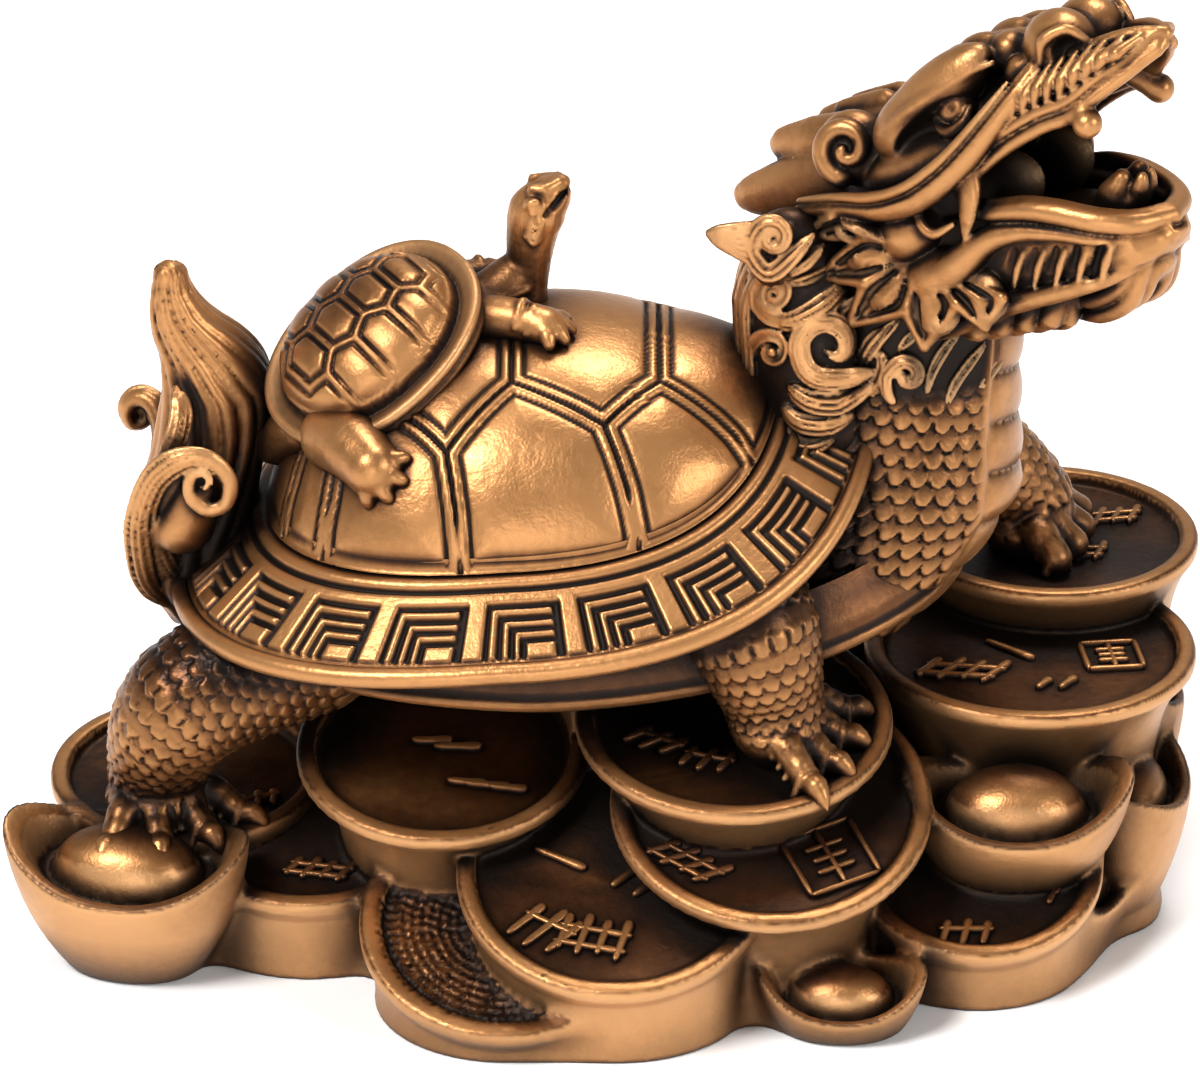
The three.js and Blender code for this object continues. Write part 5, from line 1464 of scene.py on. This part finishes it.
# Frill leaves: first foot, tip and second foot of each, round a root behind the jaw
FRILL_ROOT = np.array([5.4, 10.2, -2.4])
frill_leaves = [
    ((-2.4, 12.9, 5.4), (-8.6, 13.0, 4.4), (1.4, 12.8, 1.8)),
    ((1.4, 13.0, 2.0), (-8.6, 13.2, -0.9), (-1.4, 13.0, -3.4)),
    ((-1.4, 13.0, -3.4), (-6.9, 13.1, -7.6), (2.4, 12.2, -8.3)),
    ((2.2, 12.2, -8.2), (2.0, 11.9, -13.2), (9.4, 11.2, -9.6)),
    ((9.2, 11.2, -9.4), (11.2, 10.8, -13.3), (15.4, 10.2, -10.6)),
]
# Smooth leaves behind the head: foot, tip, radius and radius near the tip
back_leaves = (
    ((-6, 5.6, 8.4), (-20.0, 6.2, 10.6), 5.0, 2.5),
    ((-3, 4.8, 11.8), (-13.2, 4.6, 14.8), 4.6, 2.4),
    ((1, 1.6, 14.2), (-5.0, 1.4, 15.6), 3.0, 2.0),
)
beard_shifts = ((0, 0, 0), (0.2, 1.3, 0.9), (-0.4, 2.5, 1.9), (0.2, 0.5, 1.9), (-0.6, 1.7, -0.2))


def shifted(line, x, y, z):
    return [(a + x, b + y, c + z) for a, b, c in line]


def add_jaw(clay, stations, section):
    """A form whose slices across the head have one half section, stretched by the stations"""
    s = np.array(stations, float)
    section = np.array(section, float)
    start, end = s[0, 0], s[-1, 0]
    part, x, y, z = clay.region((start - 2, 0, s[:, 2].min() - 3),
                                (end + 2.5, s[:, 1].max() + 3, s[:, 3].max() + 3))
    out = np.full(clay.field[part].shape, FAR, np.float32)
    yy, zz = np.broadcast_arrays(y[0], z[0])
    for i, px in enumerate(x[:, 0, 0]):
        half, low, high = at_level(s, px)
        beyond = max(start - px, px - end, 0)
        shape = np.column_stack([section[:, 0] * half, low + (high - low) * section[:, 1]])
        shape = np.vstack([shape, shape[::-1] * (-1, 1)])
        best = np.full(yy.shape, 1e9)
        inside = np.zeros(yy.shape, bool)
        for a, b in zip(shape, np.roll(shape, -1, 0)):
            way = b - a
            size = way @ way
            if size < 1e-9:
                continue
            t = np.clip(((yy - a[0]) * way[0] + (zz - a[1]) * way[1]) / size, 0, 1)
            best = np.minimum(best, np.hypot(yy - a[0] - t * way[0], zz - a[1] - t * way[1]))
            if way[1] != 0:
                crosses = (a[1] > zz) != (b[1] > zz)
                inside ^= crosses & (yy < a[0] + way[0] * (zz - a[1]) / way[1])
        d = np.where(inside, -best, best) - JAW_ROUNDING
        out[i] = np.hypot(np.maximum(d, 0), beyond) + np.minimum(d, 0) if beyond else d
    clay.add(part, out * 0.93, 0.8)


def head_painted_shade(spots, normals):
    """Painted shade: the inside of the mouth is nearly black, and the hollow round the eye is dark"""
    x, y, z = ((spots - HEAD_AT) @ HEAD_AXES).T
    side = np.abs(y)
    top = np.interp(x, [8, 20, 30, 40], [4.5, 7.2, 7.6, 9.4])
    bottom, wide = [np.interp(x, [8, 20, 28, 34], v) for v in ([-1, -2.2, -5.4, -8.6], [9.2, 8.6, 7.2, 3.4])]
    inside = (side < wide) & (z < top) & (z > bottom) & (x > 5) & (x < 33)
    hollow = np.exp(-(((x - 16.6) / 5.2) ** 2) - ((z - 11.4) / 2.9) ** 2) * step_between(6.5, 8.0, side)
    ball = step_between(2.5, 2.8, np.sqrt((x - 17.8) ** 2 + (side - 8.2) ** 2 + (z - 12) ** 2))
    return np.where(inside, 0.6 * (1 - step_between(24, 31, x)), 0.42 * hollow * ball)


def add_skull(clay, strand, lump):
    lump((4, 0, 4.6), (13.5, 10.4, 11.2), 1.0)
    lump((-3, 0, 8), (9, 7.6, 8.6), 2.0)
    lump((12, 0, 10.4), (11, 8.0, 6.6), 2.0)
    add_jaw(clay, upper_jaw, upper_section)
    add_jaw(clay, lower_jaw, lower_section)
    lump((17, 0, 1.2), (10.5, 7.4, 3.6), 0.6, carve=True)
    lump((15, 5.0, 1.4), (8.4, 1.7, 4.8), 0.5)
    # Nose bulbs with nostrils, and the folds behind them
    lump((31.4, 2.9, 14.6), (4.7, 3.9, 4.4), 0.3)
    lump((34.6, 6.1, 13.8), (1.9, 2.0, 1.8), 0.25, carve=True)
    wing = [(31.0, 6.9, 13.6), (32.6, 6.9, 15.9), (35.2, 5.4, 16.2), (36.6, 4.5, 14.2)]
    strand(wing, (0.5, 0.75, 0.75, 0.5), 0.3)
    strand([(14, 0, 15.8), (22, 0, 15.8), (28, 0, 14.2)], (3.0, 2.6, 2.4), 1.2)
    lump((24.4, 3.4, 16.2), (2.5, 2.5, 2.3), 0.5)
    lump((20.0, 3.2, 17.4), (3.4, 2.4, 2.0), 0.6)
    lump((26.6, 5.4, 13.6), (2.2, 1.8, 1.8), 0.5)


def add_eye(strand, lump):
    # Brow: a broad smooth leaf over the eye, with a crisp lower edge
    along = unit((17.4, -2.6, 6.0))
    out = unit(np.array([0.1, 0.9, 0.42]) - along * np.dot(along, (0.1, 0.9, 0.42)))
    tilt = np.stack([along, out, np.cross(along, out)], 1)
    lump((14.6, 8.2, 14.2), (10.2, 3.6, 3.7), 0.9, tilt)
    lump((10.2, 9.4, 12.2), (5.0, 2.9, 3.6), 0.9, tilt)
    lump((17.4, 12.2, 10.9), (8.2, 4.2, 2.9), 0.35, unit_axes((1, -0.16, 0.2), (0, 1, 0)), carve=True)
    strand([(6.6, 10.4, 10.0), (8.4, 11.4, 12.0), (12.2, 11.8, 13.7), (17.0, 11.0, 14.8), (21.4, 9.3, 15.6),
            (24.6, 7.4, 15.6)], (0.4, 0.7, 0.8, 0.75, 0.65, 0.4), 0.35)
    # Eye in its hollow, held in a lower lid like a cup
    lump((17.8, 8.2, 12.0), (2.5, 2.5, 2.4), 0.15)
    lump((18.7, 10.6, 12.6), (0.8, 0.45, 0.7), 0.2, carve=True)
    strand([(15.3, 9.4, 12.6), (15.9, 10.4, 10.9), (17.6, 10.9, 9.9), (19.5, 10.3, 10.4), (20.4, 9.2, 11.8)],
           (0.4, 0.75, 0.85, 0.75, 0.4), 0.15)
    strand([(15.6, 9.6, 13.2), (17.6, 10.5, 14.1), (19.8, 9.6, 13.8)], (0.35, 0.45, 0.35), 0.15)
    # Smooth cheek below the eye
    lump((9.6, 8.9, 7.4), (9.4, 3.4, 3.2), 0.8)
    lump((19.6, 8.2, 8.2), (5.6, 2.8, 2.2), 0.8)


def add_upper_lip(strand):
    # Moustache ridge from the nose to behind the jaw, double along its length
    strand(whisker, whisker_radii, 0.3)
    groove = [(x, y + 0.72 * r, z + 0.62 * r) for (x, y, z), r in zip(whisker[1:], whisker_radii[1:])]
    strand(shifted(groove, 0, 0.3, -0.1), (0.3,), 0.12, carve=True)
    strand(shifted(groove[:8], 0, -0.1, 0.75), (0.4, 0.65, 0.75, 0.75, 0.75, 0.65, 0.5, 0.3), 0.2)
    # A smooth band with a crease, and slanted flutes above it
    strand(upper_lip, (0.8, 0.85, 0.85, 0.9, 0.95, 0.9, 0.8, 0.7), 0.25)
    band = shifted(upper_lip, 0.2, 0.1, 1.75)
    strand(band, (0.5, 0.75, 0.8, 0.8, 0.8, 0.75, 0.65, 0.4), 0.2)
    for k in range(12):
        x = 20.6 + 1.72 * k
        side, ahead = [np.interp(v, [20, 26, 33, 39, 43], [9.8, 9.0, 7.6, 5.4, 2.8]) for v in (x, x + 3.2)]
        base = np.interp(x, [p[0] for p in band], [p[2] for p in band]) + 0.7
        high = np.interp(x + 3, [20, 24, 29, 33, 39, 43], [8.4, 10.6, 12.2, 12.8, 12.8, 11.8])
        flute = [(x, side + 0.35, base), (x + 1.2, side + 0.25, base + 0.5 * (high - base)),
                 (x + 2.9, 0.86 * ahead, high + 0.3)]
        strand(flute, (0.5, 0.78, 0.5), 0.14)
    strand([(34, 4.6, 13.0), (38, 3.4, 13.1), (41.6, 1.8, 12.7), (44.2, 0, 11.5)], (0.9, 0.95, 0.9, 0.9), 0.4)
    # Knobs at the front, and the fang at the corner of the mouth
    strand([(33.0, 5.6, 8.2), (33.8, 6.6, 6.4), (34.4, 7.3, 5.2)], (1.7, 1.6, 1.8), 0.4)
    fang = [(16.9, 10.5, 5.2), (16.9, 11.2, 2.4), (15.7, 11.7, -0.2), (13.4, 11.6, -3.4)]
    strand(fang, (2.2, 1.8, 1.25, 0.2), 0.12, 0.6, (1, 0, 0.4))


def add_lower_jaw(strand, lump):
    # Lip, a second ridge below it and the band along the jaw's bottom
    strand(lower_lip, (0.9, 1.25, 1.4, 1.5, 1.5, 1.4, 1.3), 0.3)
    strand(shifted(lower_lip, 0, -0.35, 1.1), (0.5, 0.6, 0.65, 0.65, 0.6, 0.6, 0.6), 0.3)
    strand([(4.6, 10.2, -6.6), (10.5, 10.7, -5.4), (15.6, 10.3, -3.7), (20.4, 9.7, -4.0), (25.2, 8.8, -5.8),
            (29.2, 7.6, -8.0), (32.2, 5.2, -9.6)], (2.6, 2.3, 1.7, 1.2, 0.9, 0.75, 0.4), 0.35)
    strand([(-1.5, 9.2, -12.0), (4.8, 9.6, -12.2), (13.3, 9.1, -11.9), (17.6, 8.7, -12.1), (23.5, 7.7, -12.5),
            (28.1, 6.0, -12.7), (31.6, 2.8, -12.4)], (0.8, 1.3, 1.35, 1.3, 1.25, 1.15, 0.9), 0.3)
    for k in range(5):
        x, z = 17.6 + 2.75 * k, -6.9 - 0.72 * k
        y = np.interp(x, [17, 22, 27, 31, 34], [9.5, 8.9, 7.9, 6.4, 4.2])
        slot = [(x + 0.9, y, z + 1.0), (x - 0.7, y + 0.1, z - 0.7), (x - 2.5, y + 0.15, z - 2.6)]
        strand(slot, (0.35, 0.5, 0.3), 0.12, carve=True)
        rib = [(x + 2.0, y - 0.25, z + 0.4), (x + 0.5, y + 0.05, z - 1.2), (x - 1.2, y + 0.1, z - 3.1)]
        strand(rib, (0.4, 0.6, 0.35), 0.25)
    lump((32.6, 0, -10.8), (2.2, 2.8, 2.2), 0.5)
    lump((34.0, 1.7, -10.6), (1.3, 1.4, 1.4), 0.3)
    # Tongue with two lobes at its raised tip
    tongue = [(8, 0, -2.6), (20, 0, -4.2), (26.5, 0, -6.0), (30.0, 0, -5.6)]
    strand(tongue, (3.6, 4.6, 4.4, 3.0), 0.5, 0.5, (0, 1, 0))
    strand([(27.4, 1.6, -6.0), (29.6, 2.0, -4.2), (31.6, 1.8, -2.6)], (1.9, 2.0, 1.1), 0.25)
    strand([(30.6, 0.7, -5.6), (32.6, 0.9, -4.4), (33.6, 0.8, -3.4)], (1.3, 1.2, 0.7), 0.2)
    # Cheek ball, jaw muscle and the folded corner of the mouth
    lump((4.6, 9.8, 0.2), (5.0, 3.7, 3.5), 0.3)
    lump((6.4, 9.4, -6.0), (6.6, 3.6, 3.6), 0.35)
    corner = [(9.2, 11.9, 3.2), (9.2, 12.3, 0.9), (10.4, 12.3, -0.7), (13.4, 11.9, -0.4)]
    strand(corner, (0.55, 0.75, 0.75, 0.45), 0.15)
    strand([(11.2, 11.9, 2.4), (11.4, 12.0, 1.0), (13.0, 11.8, 0.8)], (0.9,), 0.15, carve=True)


def add_frill(strand):
    """Flame leaves with raised edges and a hollow between them"""
    lift = np.array([0, 0.8, 0])
    for leaf in frill_leaves:
        a, tip, b = [np.array(p) for p in leaf]
        middle = (a + b) / 2
        reach = 0.5 * np.linalg.norm(a - b)
        foot = FRILL_ROOT * 0.4 + middle * 0.6
        blade = [foot, middle, 0.5 * middle + 0.5 * tip, tip]
        strand(blade, (reach, reach, 0.5 * reach, 0.5), 0.3, 0.3, b - a)
        for corner in (a, b):
            strand([FRILL_ROOT * 0.45 + corner * 0.55 + 0.6 * lift, corner + lift], (0.55, 0.8), 0.2)
            strand([corner + lift, tip + 0.5 * lift], (0.8, 0.6), 0.2)
            inner = corner * 0.55 + middle * 0.45
            start, end = FRILL_ROOT * 0.5 + inner * 0.5, 0.45 * inner + 0.55 * tip
            strand([start + lift, inner + 1.2 * lift, end + lift], (0.25, 0.4, 0.25), 0.1, carve=True)
        rib = [foot + lift, middle + 0.9 * lift, 0.6 * tip + 0.4 * middle + 0.6 * lift]
        strand(rib, (0.5, 0.55, 0.3), 0.15)


def add_ear(strand, lump):
    """Shaped like a snail"""
    facing = unit_axes((1, -0.45, 0.0), (0.45, 1, 0.1))
    middle = np.array([1.4, 10.6, 12.2])
    lump(middle - facing[:, 1] * 1.8, (4.6, 3.0, 4.6), 0.6, facing)
    route, radii = [], []
    for k in range(27):
        t = k / 26
        out = 3.15 * (1 - t) ** 0.8 + 0.3
        c, s = ray(232 - 430 * t)
        route.append(middle + facing @ np.array([out * c, 0.2 + 1.5 * t, out * s]))
        radii.append(1.6 - 0.95 * t)
    strand(route, radii, 0.1, spacing=0.6)
    lump(middle + facing @ np.array([0.9, 3.0, 0.4]), (0.8, 1.5, 0.8), 0.2, carve=True)


def add_leaves_and_beard(strand, lump):
    for base, tip, wide, blunt in back_leaves:
        base, tip = np.array(base), np.array(tip)
        leaf = [base, 0.5 * base + 0.5 * tip, tip, tip + 0.16 * (tip - base)]
        strand(leaf, (wide, 0.84 * wide, blunt, 0.4 * blunt), 0.25, 0.66, (0.25, 0, 1))
    for dx, dy, dz in beard_shifts:
        lock = [(31.4 + 0.4 * dx, 1.2 + 0.7 * dy, -11.4 + 0.4 * dz), (30.2 + dx, 1.6 + dy, -13.8 + 0.8 * dz),
                (27.4 + dx, 1.7 + dy, -16.2 + dz), (22.6 + dx, 1.7 + dy, -16.8 + dz),
                (16.6 + 1.2 * dx, 1.4 + dy, -15.0 + dz)]
        strand(lock, (1.0, 1.25, 1.3, 1.1, 0.2), 0.15)
    lump((26, 0, -13.6), (6.6, 3.4, 2.4), 0.6)
    for k in range(4):
        x, y, z = -3.4 * k, 0.5 * k, 0.8 * k
        outer = [(19.6 + x, 5.6 + y, -12.0), (17.4 + x, 6.6 + y, -15.2 + y), (14.0 + x, 6.4 + y, -15.4 + z)]
        strand(outer, (1.6, 1.4, 0.3), 0.25)
        inner = [(20.6 + x, 4.2 + y, -12.4), (18.6 + x, 5.0 + y, -16.0 + y), (15.4 + x, 4.8 + y, -16.6 + z)]
        strand(inner, (1.3, 1.2, 0.3), 0.2)


def make_head():
    clay = Clay((-26, 0, -21), (48, 17.5, 23), 0.3, HEAD_AXES, HEAD_AT, mirrored=True)
    strand, lump = clay.strand, clay.lump
    add_skull(clay, strand, lump)
    add_eye(strand, lump)
    add_upper_lip(strand)
    add_lower_jaw(strand, lump)
    add_frill(strand)
    add_ear(strand, lump)
    add_leaves_and_beard(strand, lump)
    return piece_of("dragon_head", clay, 146000, head_painted_shade)


# Studio: the tent's grey by height of the light's way, and soft lamps with their place, size and power
FLOOR_HALF, FLOOR_GREY, TENT_STRENGTH = 6, 0.95, 0.8
TENT = ((0.0, 0.95), (0.3, 0.5), (0.75, 0.16))
LAMP_AIM = Vector((0, 0, 0.05))
lamps = (
    ("key", (-0.75, -0.75, 1.35), 0.5, 30),
    ("fill", (1.3, -0.9, 0.8), 0.6, 12),
    ("top", (0.25, 0.5, 1.7), 0.6, 24),
    ("front", (-0.2, -1.7, 0.3), 0.8, 7),
)


def make_floor():
    h = FLOOR_HALF
    mesh = bpy.data.meshes.new("floor")
    mesh.from_pydata([(-h, -h, 0), (h, -h, 0), (h, h, 0), (-h, h, 0)], [], [(0, 1, 2, 3)])
    pale = bpy.data.materials.new("pale_floor")
    pale.use_nodes = True
    shader = pale.node_tree.nodes["Principled BSDF"]
    shader.inputs["Base Color"].default_value = (FLOOR_GREY, FLOOR_GREY, FLOOR_GREY, 1)
    shader.inputs["Roughness"].default_value = 0.9
    mesh.materials.append(pale)
    floor = bpy.data.objects.new("floor", mesh)
    bpy.context.scene.collection.objects.link(floor)


def make_studio():
    """A light tent that is paler below than above, and the lamps"""
    world = bpy.data.worlds.new("studio")
    bpy.context.scene.world = world
    world.use_nodes = True
    nodes, links = world.node_tree.nodes, world.node_tree.links
    split = nodes.new("ShaderNodeSeparateXYZ")
    links.new(nodes.new("ShaderNodeTexCoord").outputs["Generated"], split.inputs[0])
    ramp = nodes.new("ShaderNodeValToRGB")
    stops = ramp.color_ramp.elements
    stops[0].position, stops[1].position = TENT[0][0], TENT[-1][0]
    stops.new(TENT[1][0])
    for stop, (_, grey) in zip(stops, TENT):
        stop.color = (grey, grey, grey, 1)
    links.new(split.outputs["Z"], ramp.inputs["Fac"])
    links.new(ramp.outputs["Color"], nodes["Background"].inputs["Color"])
    nodes["Background"].inputs["Strength"].default_value = TENT_STRENGTH
    for name, place, size, power in lamps:
        data = bpy.data.lights.new(name, "AREA")
        data.size, data.energy = size, power
        lamp = bpy.data.objects.new(name, data)
        lamp.location = place
        lamp.rotation_euler = (LAMP_AIM - Vector(place)).to_track_quat("-Z", "Y").to_euler()
        bpy.context.scene.collection.objects.link(lamp)
    bpy.context.scene.view_settings.view_transform = "Standard"


make_bed()
make_strokes()
make_plates()
make_band()
make_belly()
make_neck()
# Each leg with its number of triangles and the step of its grid
make_leg("leg_near_front", 52000, 0.32)
make_leg("leg_near_hind", 52000, 0.32)
make_leg("leg_far_front", 26000, 0.42)
make_leg("leg_far_hind", 18000, 0.5)
make_head()
make_mane()
make_crest()
make_tail()
make_young_shell()
make_young_body()
make_floor()
make_studio()
